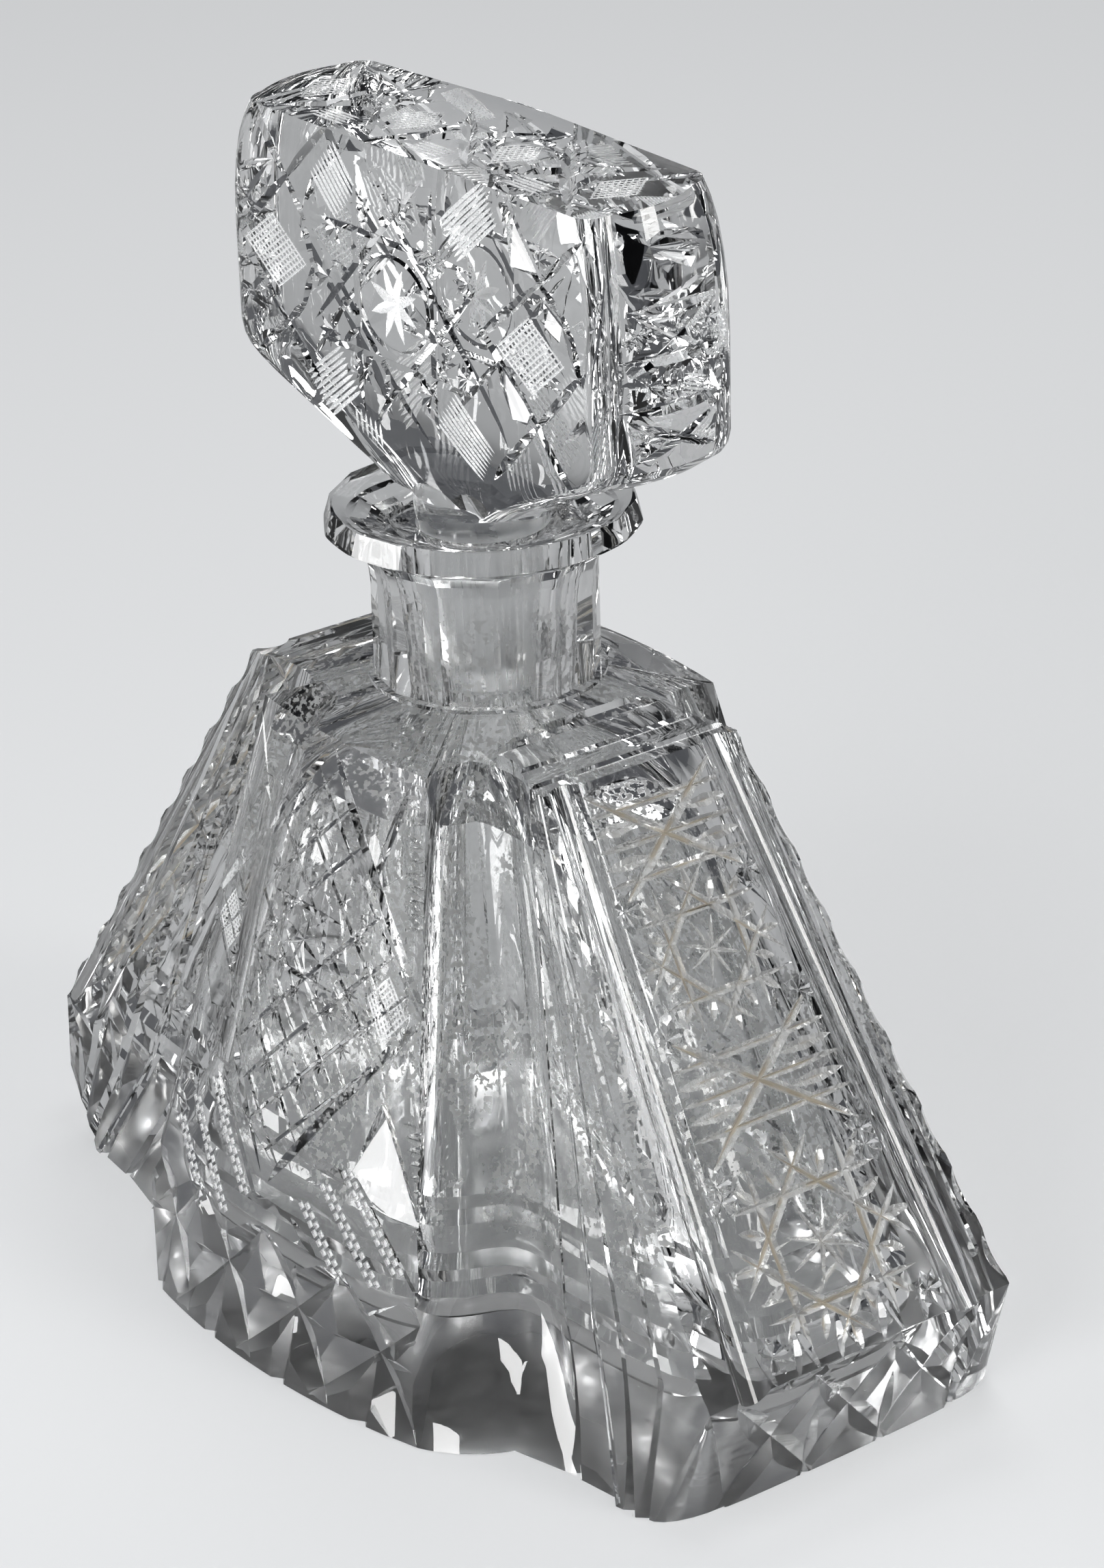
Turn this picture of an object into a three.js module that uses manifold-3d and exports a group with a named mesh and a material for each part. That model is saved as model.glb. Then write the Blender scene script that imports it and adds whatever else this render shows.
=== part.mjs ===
// Cut glass decanter: a body with two broad lobes, a neck with a lip, and a slab stopper with a ground plug.
// Millimetres, +Z up, origin at the centre of the base, X along the body, broad faces towards -Y and +Y.
import * as THREE from "three";
import { ConvexGeometry } from "three/addons/geometries/ConvexGeometry.js";
import { mergeVertices } from "three/addons/utils/BufferGeometryUtils.js";
import Module from "manifold-3d";

const wasm = await Module();
wasm.setup();
const { PI, abs, atan2, cos, hypot, max, min, sin, sqrt } = Math;

// Block: the long part of the body, with a sloping panel at each end
const baseLength = 198;
const wallDepth = 78; // between the side walls, carried straight down to the base
const footFlare = 5.4; // how far the walls swing out at the base, beside the valleys
const footTurn = 4.2; // how much of that is lost again at the corners
const baseCornerLength = 5.5; // of the rounding at the base's corners, along the side
const baseCornerDepth = 13; // and along the end
const baseEndBow = 1; // how far the base's ends stand out in the middle
const bandHeight = 25.5; // level of the widest edge, where the ends turn under
const bandLength = 212;
const shoulderHeight = 120; // of the shoulder's outer edge
const shoulderLength = 91;
const shoulderDepth = 45;
const shoulderRise = 4.5; // from the shoulder's edge up to the neck

// Lobes: the broad faces that stand out at the front and the back
const lobeBaseDepth = 128;
const lobeTopDepth = 70.5;
const lobeBaseWidth = 93;
const lobeTopWidth = 51;
const lobeBaseBow = 6; // how far a broad face stands out in the middle
const lobeTopBow = 2;
const lobeFluteSag = 2.6; // hollow of the flute down each corner of a lobe
const lobeFluteFoot = 17; // level where those flutes run out
const lobeCornerSwell = 1.9; // of the lobe's corners at the base, below the flutes
const valleyBaseWidth = 113; // between the valleys at the two sides of a lobe, without the flare
const valleyFlare = 3.5;
const valleyTopWidth = 49.5;

// Fan of long flat prisms on the side walls, beside a wide flute next to each valley
const fanTop = 41; // half the distance between the points where the fans start
const fanTopPitch = 1.1; // between a fan's lines at the shoulder
const fanAtBand = [61.6, 72, 81, 92]; // the fan's lines at the band, from the middle
const fanFeet = [75, 86, 90.5, 93.5]; // and at the base
const fanSteps = [0.4, 1.9, 0.4, 0.3]; // how far each prism stands out from the one before, at the base
const fanGroove = 0.5; // depth of the fine mitre on each line
const sideFluteSag = 1.7;

// Flat cuts that take the left front corners further back at the foot: two on the block, one on the lobe.
// Each faces a heading in degrees, at a distance from the axis at its low and high level, and runs sideways.
const cornerCuts = [
  { heading: 54, levels: [-1, 32], distances: [89.2, 89.2], sideways: [-90, -30] },
  { heading: 54, levels: [-1, 14], distances: [83, 89.2], sideways: [-90, -30] },
  { heading: 58.3, levels: [-1, 22], distances: [69.3, 69.3], sideways: [-27, 25] },
];

// The end panel's pattern, up its slope from the band: two stars in lattices, a ribbed cross above each
const bigStar = { at: [0, 20.5], distance: 10.2, reach: 17.5, depth: 1.25 };
const smallStar = { at: [0, 76.5], distance: 7.7, reach: 14, depth: 1.05 };
const ribbedCrosses = [
  { level: 51.5, half: 18, reach: 13.5, depth: 1.4 },
  { level: 99, half: 15.5, reach: 11.5, depth: 1.4 },
];
const ribDepth = 1;
const ribPitch = 6.5;
const borderAt = { foot: 25.8, top: 17 }; // of the flutes beside the pattern, from the panel's middle

// The broad face's pattern, across and up its slope from the base
const kite = [[0, 122], [34, 81], [-2, 34], [-34, 81]]; // clockwise from its top
const kiteStar = { at: [-1, 84], distance: 6.6, reach: 11, depth: 0.8 };
const kiteDepth = 1.7;
const kiteLines = [-6.6, 6.6]; // distances of the long lines from the star's middle
const kiteLineDepth = 0.85;
const leaves = [ // flat cuts: across, up the slope, depth at each corner
  [[-35, 81, 0], [-18, 63.5, 1.2], [-29, 61, 0.6], [-34, 69, 0]],
  [[-20, 50, 0], [8, 36, 0.2], [-4, 31, 1.4]],
  [[27, 61.5, 0], [33, 53, 0.2], [40, 42, 0.2], [30, 41.5, 0.9], [22.5, 47, 0.9]],
  [[28, 42, 0.8], [42, 41, 0], [50, 31.5, 0], [41, 30, 0.8]],
  [[-36, 60, 0], [-24, 56, 0.9], [-27, 48, 0.6], [-36, 46, 0]],
];
const rimStars = [-34, -11.5, 11.5, 34]; // across, of the crossed cuts along the base
const rimCross = { half: 12, low: 3, high: 27, depth: 2.1 };
const rimRay = { low: -6, high: 24, depth: 1.7 };

// Neck and lip
const neckRadius = 21;
const neckPanels = 12;
const neckPanelDepth = 1.3;
const lipHeight = 157.4; // of the lip's widest edge
const lipRadius = 30;
const lipThickness = 3.2;
const lipFacets = 16;
const lipDish = 3.4; // depth of the dished top
const neckFlare = 1.4; // of the round blank over the neck's radius, at its foot

// Hollow and ground seat
const wall = 8.5;
const floorThickness = 15;
const seatRadius = 12.5; // of the ground seat at its mouth
const seatLength = 32;
const seatTaper = 0.085; // fall of the radius with depth
const seatClearance = 0.3;

// Stopper
const headBottom = 176; // level of the head's lower corners
const headTop = 225.7; // of the top's front edge
const headLength = 113; // at half height, over the corners
const headDepth = 31;
const headTopLength = 104;
const headTopDepth = 27.3;
const headNarrowing = [[0.5, 0], [0.77, 0.18], [0.92, 0.5], [1, 1]]; // shares of the height and of the way in
const headTopRise = 2.4; // of the top's back edge over its front edge
const headTopArch = 1.6; // of the back edge's middle over its ends
const headEndBow = 3.5; // how far the ends stand out in the middle
const headCornerCut = 3.2;
const waistRadius = 12.8;
const plugLength = 30;

// The head's pattern: across from the middle and up from the lower corners
const headStar = { at: [-3.5, 22], distance: 11.5, reach: 24, depth: 1.1 };
const headStarRays = { length: 18, depth: 1 };
const frames = [ // the deep cuts round the two fields of fine lines
  [[-56, 22], [-38, 39], [-31, 22], [-42, 7]],
  [[22, 22], [37, 34], [48.5, 22], [37, 8]],
];
const frameDepth = 1.5;
const arms = [ // from a frame's corner outwards
  [[37, 8], [47, -1]], [[37, 8], [22, -3]], [[-42, 8], [-52, -1]], [[-42, 8], [-32, -1]],
  [[37, 34], [48, 45]], [[37, 34], [27, 46]], [[-37, 37], [-50, 48]], [[-40, 37], [-30, 48]],
];
const armDepth = 1.3;
const endCuts = { levels: [4, 16, 25, 34], half: 14, overlap: 2, depth: 1.3 }; // straight across the ends
const topCrosses = { at: [-29, 0, 29], half: 14, reach: 11.5, depth: 1.3 };

// Cutting wheels
const wheelRadius = 38; // of the wheel that cuts the long mitres
const mitreFlank = 1.15; // half the width of a mitre over its depth
const overcut = 1.2; // how far a cutter stands out of the glass

const at = (x, y, z) => new THREE.Vector3(x, y, z);
const mix = (a, b, t) => a + (b - a) * t;
const moved = (start, ...moves) => moves.reduce((p, [way, by]) => p.addScaledVector(way, by), start.clone());

// A closed geometry as a solid for cutting
function solid(geometry) {
  geometry.deleteAttribute("normal");
  geometry.deleteAttribute("uv");
  const merged = mergeVertices(geometry, 1e-5);
  const mesh = new wasm.Mesh({
    numProp: 3,
    vertProperties: merged.attributes.position.array,
    triVerts: new Uint32Array(merged.index.array),
  });
  return new wasm.Manifold(mesh);
}

const hull = (points) => solid(new ConvexGeometry(points));

// Skin over rings of as many points each round the Z axis, closed by a fan to the axis at both ends
function loft(rings) {
  const count = rings[0].length;
  const middles = [rings[0], rings[rings.length - 1]].map((ring) => {
    return at(0, 0, ring.reduce((sum, p) => sum + p.z, 0) / count);
  });
  const points = [...rings.flat(), ...middles];
  const positions = points.flatMap((p) => [p.x, p.y, p.z]);
  const index = [];
  for (let level = 0; level + 1 < rings.length; level++) {
    for (let k = 0; k < count; k++) {
      const a = level * count + k;
      const b = level * count + ((k + 1) % count);
      index.push(a, b, b + count, a, b + count, a + count);
    }
  }
  const last = (rings.length - 1) * count;
  const middle = rings.length * count;
  for (let k = 0; k < count; k++) {
    const next = (k + 1) % count;
    index.push(middle, next, k, middle + 1, last + k, last + next);
  }
  const geometry = new THREE.BufferGeometry();
  geometry.setAttribute("position", new THREE.Float32BufferAttribute(positions, 3));
  geometry.setIndex(index);
  return solid(geometry);
}

// The four mirror images of a cutter's points, or the two at opposite sides
const images = (points, signs) => signs.map(([sx, sy]) => points.map((p) => at(p.x * sx, p.y * sy, p.z)));
const fourWays = (points) => images(points, [[1, 1], [-1, 1], [-1, -1], [1, -1]]);
const twoWays = (points) => images(points, [[1, 1], [-1, -1]]);

const carve = (blank, cutters) => cutters.reduce((left, points) => left.subtract(hull(points)), blank);

// A V groove cut by a wheel from point a to point b of a face, deepest in the middle, with the face's normal
function mitre(a, b, out, depth) {
  const along = b.clone().sub(a);
  const length = along.length();
  along.normalize();
  const side = out.clone().cross(along).normalize();
  const up = along.clone().cross(side).normalize();
  const run = min(length * 0.42, sqrt(2 * wheelRadius * depth));
  const place = (t, s, w) => moved(a, [along, t], [side, s], [up, w]);
  const lead = (run * overcut) / depth;
  const half = mitreFlank * (depth + overcut);
  const points = [place(run, 0, -depth), place(length - run, 0, -depth)];
  points.push(place(-lead, 0, overcut), place(length + lead, 0, overcut));
  for (const s of [-half, half]) points.push(place(run, s, overcut), place(length - run, s, overcut));
  return points;
}

// A flat cut across a corner of the body, for one of cornerCuts
function cornerCutter({ heading, levels, distances, sideways }) {
  const turn = (heading * PI) / 180;
  const out = at(-cos(turn), -sin(turn), 0);
  const along = at(sin(turn), -cos(turn), 0);
  const far = max(...distances) + 20;
  return levels.flatMap((z, k) =>
    sideways.flatMap((s) => [distances[k], far].map((d) => moved(at(0, 0, z), [out, d], [along, s]))),
  );
}

// A flat cut with its own depth at each corner
const leaf = (face, corners) =>
  corners.flatMap(([u, v, depth]) => {
    return [-depth, overcut].map((w) => moved(face.point(u, v), [face.normal(), w]));
  });

// The stretch of a line, from a point along a way, inside an outline that runs clockwise
function clipped([px, py], [wx, wy], outline) {
  let start = -Infinity;
  let end = Infinity;
  outline.forEach(([ax, ay], k) => {
    const [bx, by] = outline[(k + 1) % outline.length];
    const inward = (by - ay) * wx + (ax - bx) * wy;
    const reach = ((by - ay) * (ax - px) + (ax - bx) * (ay - py)) / inward;
    if (inward > 0) start = max(start, reach);
    else end = min(end, reach);
  });
  return [start, end].map((reach) => [px + wx * reach, py + wy * reach]);
}

// A flat face of the glass: u across, v up the slope, seen from outside
function flatFace(origin, across, up) {
  const out = across.clone().cross(up).normalize();
  const point = (u, v) => moved(origin, [across, u], [up, v]);
  return { point, normal: () => out };
}

// Outline of the body's front right quarter at a level, from the middle of the front to the middle of the end
const rise = (z) => z / shoulderHeight;
const underBand = (z) => max(0, 1 - z / bandHeight);
const aboveBand = (z) => max(0, (z - bandHeight) / (shoulderHeight - bandHeight));
const sideY = (z) => -mix(wallDepth, shoulderDepth, rise(z)) / 2 - footFlare * underBand(z) ** 1.6;
const frontY = (z) => -mix(lobeBaseDepth, lobeTopDepth, rise(z)) / 2;
const frontHalf = (z) => mix(lobeBaseWidth, lobeTopWidth, rise(z)) / 2;
const frontBow = (z) => mix(lobeBaseBow, lobeTopBow, rise(z));
const valleyX = (z) => mix(valleyBaseWidth, valleyTopWidth, rise(z)) / 2 + valleyFlare * underBand(z) ** 1.6;
const endX = (z) => mix(mix(bandLength, baseLength, underBand(z)), shoulderLength, aboveBand(z)) / 2;
function cornerY(x, z) {
  const share = max(0, (x - valleyX(z)) / (endX(z) - valleyX(z)));
  return sideY(z) + footTurn * underBand(z) ** 1.6 * share ** 2;
}
// Broad front face: the point at x across and z up, and the way out of the glass there
const broadPoint = (x, z) => at(x, frontY(z) + frontBow(z) * (x / frontHalf(z)) ** 2, z);
const broadOut = () => at(0, -shoulderHeight, (lobeBaseDepth - lobeTopDepth) / 2).normalize();

// Points of a hollow arc from a to b with the given sag towards the glass, without its first point
function hollowArc([ax, ay], [bx, by], sag, count) {
  const nx = ay - by;
  const ny = bx - ax;
  const length = hypot(nx, ny);
  return Array.from({ length: count }, (_, k) => {
    const t = (k + 1) / count;
    const dip = (4 * sag * t * (1 - t)) / length;
    return [mix(ax, bx, t) + nx * dip, mix(ay, by, t) + ny * dip];
  });
}

function quarterOutline(z) {
  const up = rise(z);
  const outline = [];
  const faceSteps = 5;
  for (let k = 0; k <= faceSteps; k++) {
    const p = broadPoint((frontHalf(z) * k) / faceSteps, z);
    outline.push([p.x, p.y]);
  }
  const valley = [valleyX(z), sideY(z)];
  const fluted = min(1, z / lobeFluteFoot);
  const lobeSag = mix(-lobeCornerSwell, lobeFluteSag * mix(1, 0.5, up), fluted);
  outline.push(...hollowArc(outline[faceSteps], valley, lobeSag, 6));
  const shrink = mix(1, 0.15, up);
  const fan = fanFeet.map((foot, k) => {
    const low = mix(fanAtBand[k], foot, underBand(z));
    return mix(low, fanTop + k * fanTopPitch, aboveBand(z));
  });
  let depth = fanSteps.reduce((sum, step) => sum + step, 0) * shrink;
  outline.push(...hollowArc(valley, [fan[0], cornerY(fan[0], z) + depth], sideFluteSag * fluted, 6));
  const groove = fanGroove * mix(1, 0.3, up);
  fan.forEach((x, k) => {
    if (k > 0) outline.push([x - groove, cornerY(x, z) + depth]);
    outline.push([x, cornerY(x, z) + depth + groove * 0.6]);
    depth -= fanSteps[k] * shrink;
    outline.push([x + groove, cornerY(x, z) + depth]);
  });
  // The block's corner: round at the base, sharp from the band upwards
  const under = underBand(z);
  const sharp = 0.02; // keeps the rounding's points apart where it vanishes
  for (let k = 0; k <= 3; k++) {
    const turn = (k / 3) * (PI / 2);
    const back = baseCornerLength * under * (1 - sin(turn)) + sharp * (3 - k);
    const inward = baseCornerDepth * under * (1 - cos(turn)) + sharp * k;
    outline.push([endX(z) - back, cornerY(endX(z), z) + inward]);
  }
  const bow = baseEndBow * under;
  outline.push([endX(z) + bow * 0.75, sideY(z) / 3], [endX(z) + bow, 0]);
  return outline;
}

// The whole outline, anticlockwise from the middle of the front
function bodyOutline(z) {
  const quarter = quarterOutline(z);
  const right = [...quarter, ...quarter.slice(0, -1).reverse().map(([x, y]) => [x, -y])];
  const left = right.slice(1, -1).reverse().map(([x, y]) => [-x, y]);
  return [...right, ...left].map(([x, y]) => at(x, y, z));
}

function bodyBlank() {
  const edge = bodyOutline(shoulderHeight);
  const neckFoot = edge.map((p) => {
    const turn = atan2(p.y, p.x);
    return at(cos(turn) * (neckRadius + 1), sin(turn) * (neckRadius + 1), shoulderHeight + shoulderRise);
  });
  const flared = [0, 0.33, 0.66, 1].map((share) => bodyOutline(bandHeight * share));
  return loft([...flared, edge, neckFoot]);
}

// Round blank of the neck and lip, before its panels are cut
function neckBlank() {
  const foot = shoulderHeight + shoulderRise - 6;
  const under = lipHeight - lipThickness;
  const profile = [
    [0, foot],
    [neckRadius + neckFlare, foot],
    [neckRadius + neckFlare, foot + 6.6],
    [neckRadius + 0.6, foot + 12],
    [neckRadius + 0.9, under - 9],
    [neckRadius + 2.6, under - 4.5],
    [lipRadius - 2, under - 0.6],
    [lipRadius, under + 0.8],
    [lipRadius, lipHeight],
    [lipRadius - 2.2, lipHeight + 1.1],
    [seatRadius + 3.4, lipHeight - lipDish],
    [0, lipHeight - lipDish],
  ];
  return solid(new THREE.LatheGeometry(profile.map(([r, z]) => new THREE.Vector2(r, z)), 48).rotateX(PI / 2));
}

// A flat panel down the neck: straight, then running out under the lip in an arch
function neckPanel(turn) {
  const flat = neckRadius - neckPanelDepth + 0.9;
  const foot = shoulderHeight + shoulderRise + 0.6;
  const arch = lipHeight - lipThickness - 6;
  const reach = neckRadius;
  const rim = [
    [flat, foot],
    [flat, arch - 4],
    [flat + 0.7, arch],
    [flat + 4.5, arch + 5],
    [lipRadius + 2, arch + 6],
    [lipRadius + 2, foot],
  ];
  const points = rim.flatMap(([r, z]) => [at(r, -reach * 0.32, z), at(r, reach * 0.32, z)]);
  return points.map((p) => p.applyAxisAngle(at(0, 0, 1), turn));
}

// A flat cut across the lip's edge
function lipFacet(turn) {
  const flat = lipRadius * cos(PI / lipFacets) + 0.1;
  const points = [];
  for (const y of [-8, 8]) {
    points.push(at(flat, y, lipHeight - lipThickness - 1), at(flat, y, lipHeight - 0.6));
    points.push(at(flat + 3, y, lipHeight - lipThickness - 1), at(flat - 1.6, y, lipHeight + 1.2));
    points.push(at(flat + 3, y, lipHeight + 1.2));
  }
  return points.map((p) => p.applyAxisAngle(at(0, 0, 1), turn));
}

// The hollow: its outline follows the body's, softened as blown glass is, and narrows into the ground seat
function hollow() {
  const sides = 48;
  const roundness = 5;
  const turns = Array.from({ length: sides }, (_, k) => (2 * PI * k) / sides);
  const power = (value) => abs(value) ** roundness;
  const boxed = (turn, a, b) => (power(cos(turn) / a) + power(sin(turn) / b)) ** (-1 / roundness);
  const top = shoulderHeight - wall;
  const ring = (z, inset, closeness) => {
    const level = min(z, top);
    const across = [endX(max(level, bandHeight)) - wall * 1.25 - inset, -sideY(level) - wall - inset];
    const deep = [valleyX(level) - wall - inset, -frontY(level) - wall * 1.15 - inset];
    const seat = seatRadius - seatTaper * seatLength;
    return turns.map((turn) => {
      const joined = (boxed(turn, ...across) ** 8 + boxed(turn, ...deep) ** 8) ** (1 / 8);
      const r = mix(joined, seat, closeness);
      return at(r * cos(turn), r * sin(turn), z);
    });
  };
  const circle = (z, r) => turns.map((turn) => at(r * cos(turn), r * sin(turn), z));
  const mouth = lipHeight - lipDish;
  return loft([
    ring(floorThickness, 9, 0),
    ring(floorThickness + 2.2, 3.2, 0),
    ring(floorThickness + 8, 0, 0),
    ring(mix(floorThickness, top, 0.35), 0, 0),
    ring(mix(floorThickness, top, 0.7), 0, 0),
    ring(top - 7, 0, 0),
    ring(top - 2, 2, 0.25),
    ring(top + 2, 4, 0.7),
    circle(mouth - seatLength, seatRadius - seatTaper * seatLength),
    circle(mouth, seatRadius),
    circle(mouth + lipDish + overcut, seatRadius + lipDish + overcut),
  ]);
}

// Steps across the shoulder, parallel to the end panel's upper edge
function shoulderSteps() {
  const steps = [
    [26.5, 2.0],
    [35, 1.4],
    [41, 0.8],
  ];
  return steps.map(([x, above]) => {
    const floor = shoulderHeight + above;
    const points = [];
    for (const y of [-shoulderDepth, shoulderDepth]) {
      points.push(at(x, y, floor), at(x + 0.9, y, floor - 0.9), at(shoulderLength, y, floor - 0.9));
      points.push(at(x, y, floor + 9), at(shoulderLength, y, floor + 9));
    }
    return points;
  });
}

// The end panel: u across, v up the slope from the band
const panelSlope = at((shoulderLength - bandLength) / 2, 0, shoulderHeight - bandHeight);
const panelLength = panelSlope.length();
const endPanel = flatFace(at(bandLength / 2, 0, bandHeight), at(0, 1, 0), panelSlope.clone().normalize());

// A long hollow flute beside the panel's pattern
function borderFlute() {
  const radius = 5.2;
  const depth = 1.5;
  const points = [];
  for (const [v, u] of [[-8, borderAt.foot], [panelLength + 8, borderAt.top]]) {
    for (let k = 0; k < 10; k++) {
      const turn = (2 * PI * k) / 10;
      const p = endPanel.point(u + radius * cos(turn), v);
      points.push(p.addScaledVector(endPanel.normal(), radius - depth + radius * sin(turn)));
    }
  }
  return points;
}

// Long mitres round a star: eight lines at one distance from its middle
function starLattice(face, { at: [u, v], distance, reach, depth }) {
  return Array.from({ length: 8 }, (_, k) => {
    const turn = (k * PI) / 4;
    const [nu, nv] = [cos(turn), sin(turn)];
    const a = face.point(u + nu * distance - nv * reach, v + nv * distance + nu * reach);
    const b = face.point(u + nu * distance + nv * reach, v + nv * distance - nu * reach);
    return mitre(a, b, face.normal(), depth);
  });
}

// A groove between two points of a face
const grooveOn = (face, [u1, v1], [u2, v2], depth) =>
  mitre(face.point(u1, v1), face.point(u2, v2), face.normal(), depth);

function endPanelCuts() {
  const cuts = [...starLattice(endPanel, bigStar), ...starLattice(endPanel, smallStar)];
  for (const { level, half, reach, depth } of ribbedCrosses) {
    for (const s of [-1, 1]) {
      cuts.push(grooveOn(endPanel, [-half, level - s * reach], [half, level + s * reach], depth));
      for (const rib of [-ribPitch, 0, ribPitch]) {
        cuts.push(grooveOn(endPanel, [s * half, level + rib], [s * 2, level + rib * 0.5], ribDepth));
      }
    }
  }
  return cuts;
}

// The broad face, u across and v up its slope
const broadLength = hypot(shoulderHeight, (lobeBaseDepth - lobeTopDepth) / 2);
const broadFace = { point: (u, v) => broadPoint(u, (v * shoulderHeight) / broadLength), normal: broadOut };

// The broad face's pattern: a kite of deep mitres round a star, leaves beside it, stars along the rim
function broadFaceCuts() {
  const cuts = kite.map((corner, k) => grooveOn(broadFace, corner, kite[(k + 1) % kite.length], kiteDepth));
  const [u, v] = kiteStar.at;
  const slant = sqrt(0.5);
  for (const s of [-1, 1]) {
    for (const off of kiteLines) {
      const [a, b] = clipped([u - s * slant * off, v + slant * off], [slant, s * slant], kite);
      cuts.push(grooveOn(broadFace, a, b, kiteLineDepth));
    }
  }
  cuts.push(...starLattice(broadFace, kiteStar).filter((_, k) => k % 2 === 0));
  cuts.push(...leaves.map((corners) => leaf(broadFace, corners)));
  const { half, low, high, depth } = rimCross;
  for (const x of rimStars) {
    for (const s of [-half, half]) cuts.push(grooveOn(broadFace, [x - s, low], [x + s, high], depth));
    cuts.push(grooveOn(broadFace, [x, rimRay.low], [x, rimRay.high], rimRay.depth));
  }
  return cuts;
}

// Shallow round cuts along the edge between a side wall and an end panel
function edgeScallops() {
  const low = at(bandLength / 2, sideY(bandHeight), bandHeight);
  const high = at(shoulderLength / 2, sideY(shoulderHeight), shoulderHeight);
  const along = high.clone().sub(low).normalize();
  const out = endPanel.normal().clone().add(at(0, -0.5, 0.07)).normalize();
  const across = along.clone().cross(out).normalize();
  const count = 9;
  const radius = 14;
  const depth = 1;
  return Array.from({ length: count }, (_, k) => {
    const middle = low.clone().lerp(high, (k + 0.5) / count).addScaledVector(out, radius - depth);
    const points = [];
    for (let n = 0; n < 12; n++) {
      const turn = (2 * PI * n) / 12;
      const p = moved(middle, [along, radius * cos(turn)], [out, radius * sin(turn)]);
      points.push(moved(p, [across, -4]), moved(p, [across, 4]));
    }
    return points;
  });
}

function makeBody() {
  const blank = bodyBlank().add(neckBlank());
  const cutters = shoulderSteps().flatMap(twoWays);
  for (let k = 0; k < neckPanels; k++) cutters.push(neckPanel((2 * PI * (k + 0.5)) / neckPanels));
  for (let k = 0; k < lipFacets; k++) cutters.push(lipFacet((2 * PI * (k + 0.5)) / lipFacets));
  cutters.push(...fourWays(borderFlute()));
  cutters.push(...edgeScallops().flatMap(fourWays));
  cutters.push(...endPanelCuts().flatMap(twoWays));
  cutters.push(...broadFaceCuts().flatMap(twoWays));
  cutters.push(...cornerCuts.map(cornerCutter));
  return carve(blank, cutters).subtract(hollow());
}

// The head's levels: height, half the length, half the depth, how far the corners are rounded
const headFoot = lipHeight + 2.6;
const underHead = (share) => mix(headFoot, headBottom, share);
const headLevels = [
  [headFoot, waistRadius * 1.3, waistRadius * 0.8, 0.9],
  [underHead(0.18), headLength * 0.19, headDepth * 0.37, 0.9],
  [underHead(0.48), headLength * 0.275, headDepth * 0.415, 0.9],
  [underHead(0.82), headLength * 0.385, headDepth * 0.465, 0.9],
  [headBottom + 1, headLength * 0.4775, headDepth * 0.485, 1],
  [headBottom + 4.5, headLength / 2, headDepth / 2, 1],
  ...headNarrowing.map(([height, share]) => [
    mix(headBottom, headTop, height),
    mix(headLength, headTopLength, share) / 2,
    mix(headDepth, headTopDepth, share) / 2,
    1,
  ]),
];

// Half the head's length, or half its depth, at a level
function headSize(z, which) {
  const k = headLevels.findIndex(([level]) => level >= z);
  const [low, high] = [headLevels[k - 1], headLevels[k]];
  return mix(low[which], high[which], (z - low[0]) / (high[0] - low[0]));
}

// The stopper's head: a slab with bowed ends, its underside drawn in to the waist, its top tilted and arched
function headBlank() {
  const level = mix(headBottom, headTop, headNarrowing[1][0]); // below it, the rings are level
  const outline = ([z, reachX, reachY, round]) => {
    const corner = [
      [reachX - headCornerCut * round, reachY],
      [reachX, reachY - headCornerCut * 0.8 * round],
      [reachX + headEndBow * 0.7 * round, reachY * 0.42],
    ];
    const end = [...corner.map(([x, y]) => [x, -y]), ...corner.toReversed()];
    const ring = [[0, -reachY], ...end, [0, reachY], ...end.toReversed().map(([x, y]) => [-x, y])];
    const tilt = max(0, (z - level) / (headTop - level));
    return ring.map(([x, y]) => {
      const arch = x === 0 && y > 0 ? headTopArch : 0;
      return at(x, y, z + tilt * (headTopRise * (0.5 + y / (2 * reachY)) + arch));
    });
  };
  return loft(headLevels.map(outline));
}

// Round waist and tapered ground plug
function plugBlank() {
  const mouth = lipHeight - lipDish;
  const radius = (z) => seatRadius - seatClearance - seatTaper * (mouth - z);
  const end = mouth - plugLength;
  const profile = [
    [0, end],
    [radius(end) - 1.2, end],
    [radius(end + 1.2), end + 1.2],
    [radius(mouth), mouth],
    [radius(mouth) + 0.5, mouth + 3],
    [waistRadius, lipHeight + 3.2],
    [waistRadius * 0.8, lipHeight + 8],
    [0, lipHeight + 8],
  ];
  return solid(new THREE.LatheGeometry(profile.map(([r, z]) => new THREE.Vector2(r, z)), 36).rotateX(PI / 2));
}

// The head's broad side: a star in a wide lattice, two framed fields, arms towards the corners
function headSideCuts() {
  const face = {
    point: (u, v) => at(u, -headSize(max(headBottom + v, headFoot + 1), 2), headBottom + v),
    normal: () => at(0, -1, 0),
  };
  const cuts = starLattice(face, headStar);
  const [u, v] = headStar.at;
  for (let k = 0; k < 4; k++) {
    const turn = ((k + 0.5) * PI) / 4;
    const ray = [cos(turn), sin(turn)].map((share) => (share * headStarRays.length) / 2);
    cuts.push(grooveOn(face, [u - ray[0], v - ray[1]], [u + ray[0], v + ray[1]], headStarRays.depth));
  }
  for (const frame of frames) {
    cuts.push(...frame.map((corner, k) => grooveOn(face, corner, frame[(k + 1) % frame.length], frameDepth)));
  }
  cuts.push(...arms.map(([inner, outer]) => grooveOn(face, inner, outer, armDepth)));
  return cuts;
}

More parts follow.
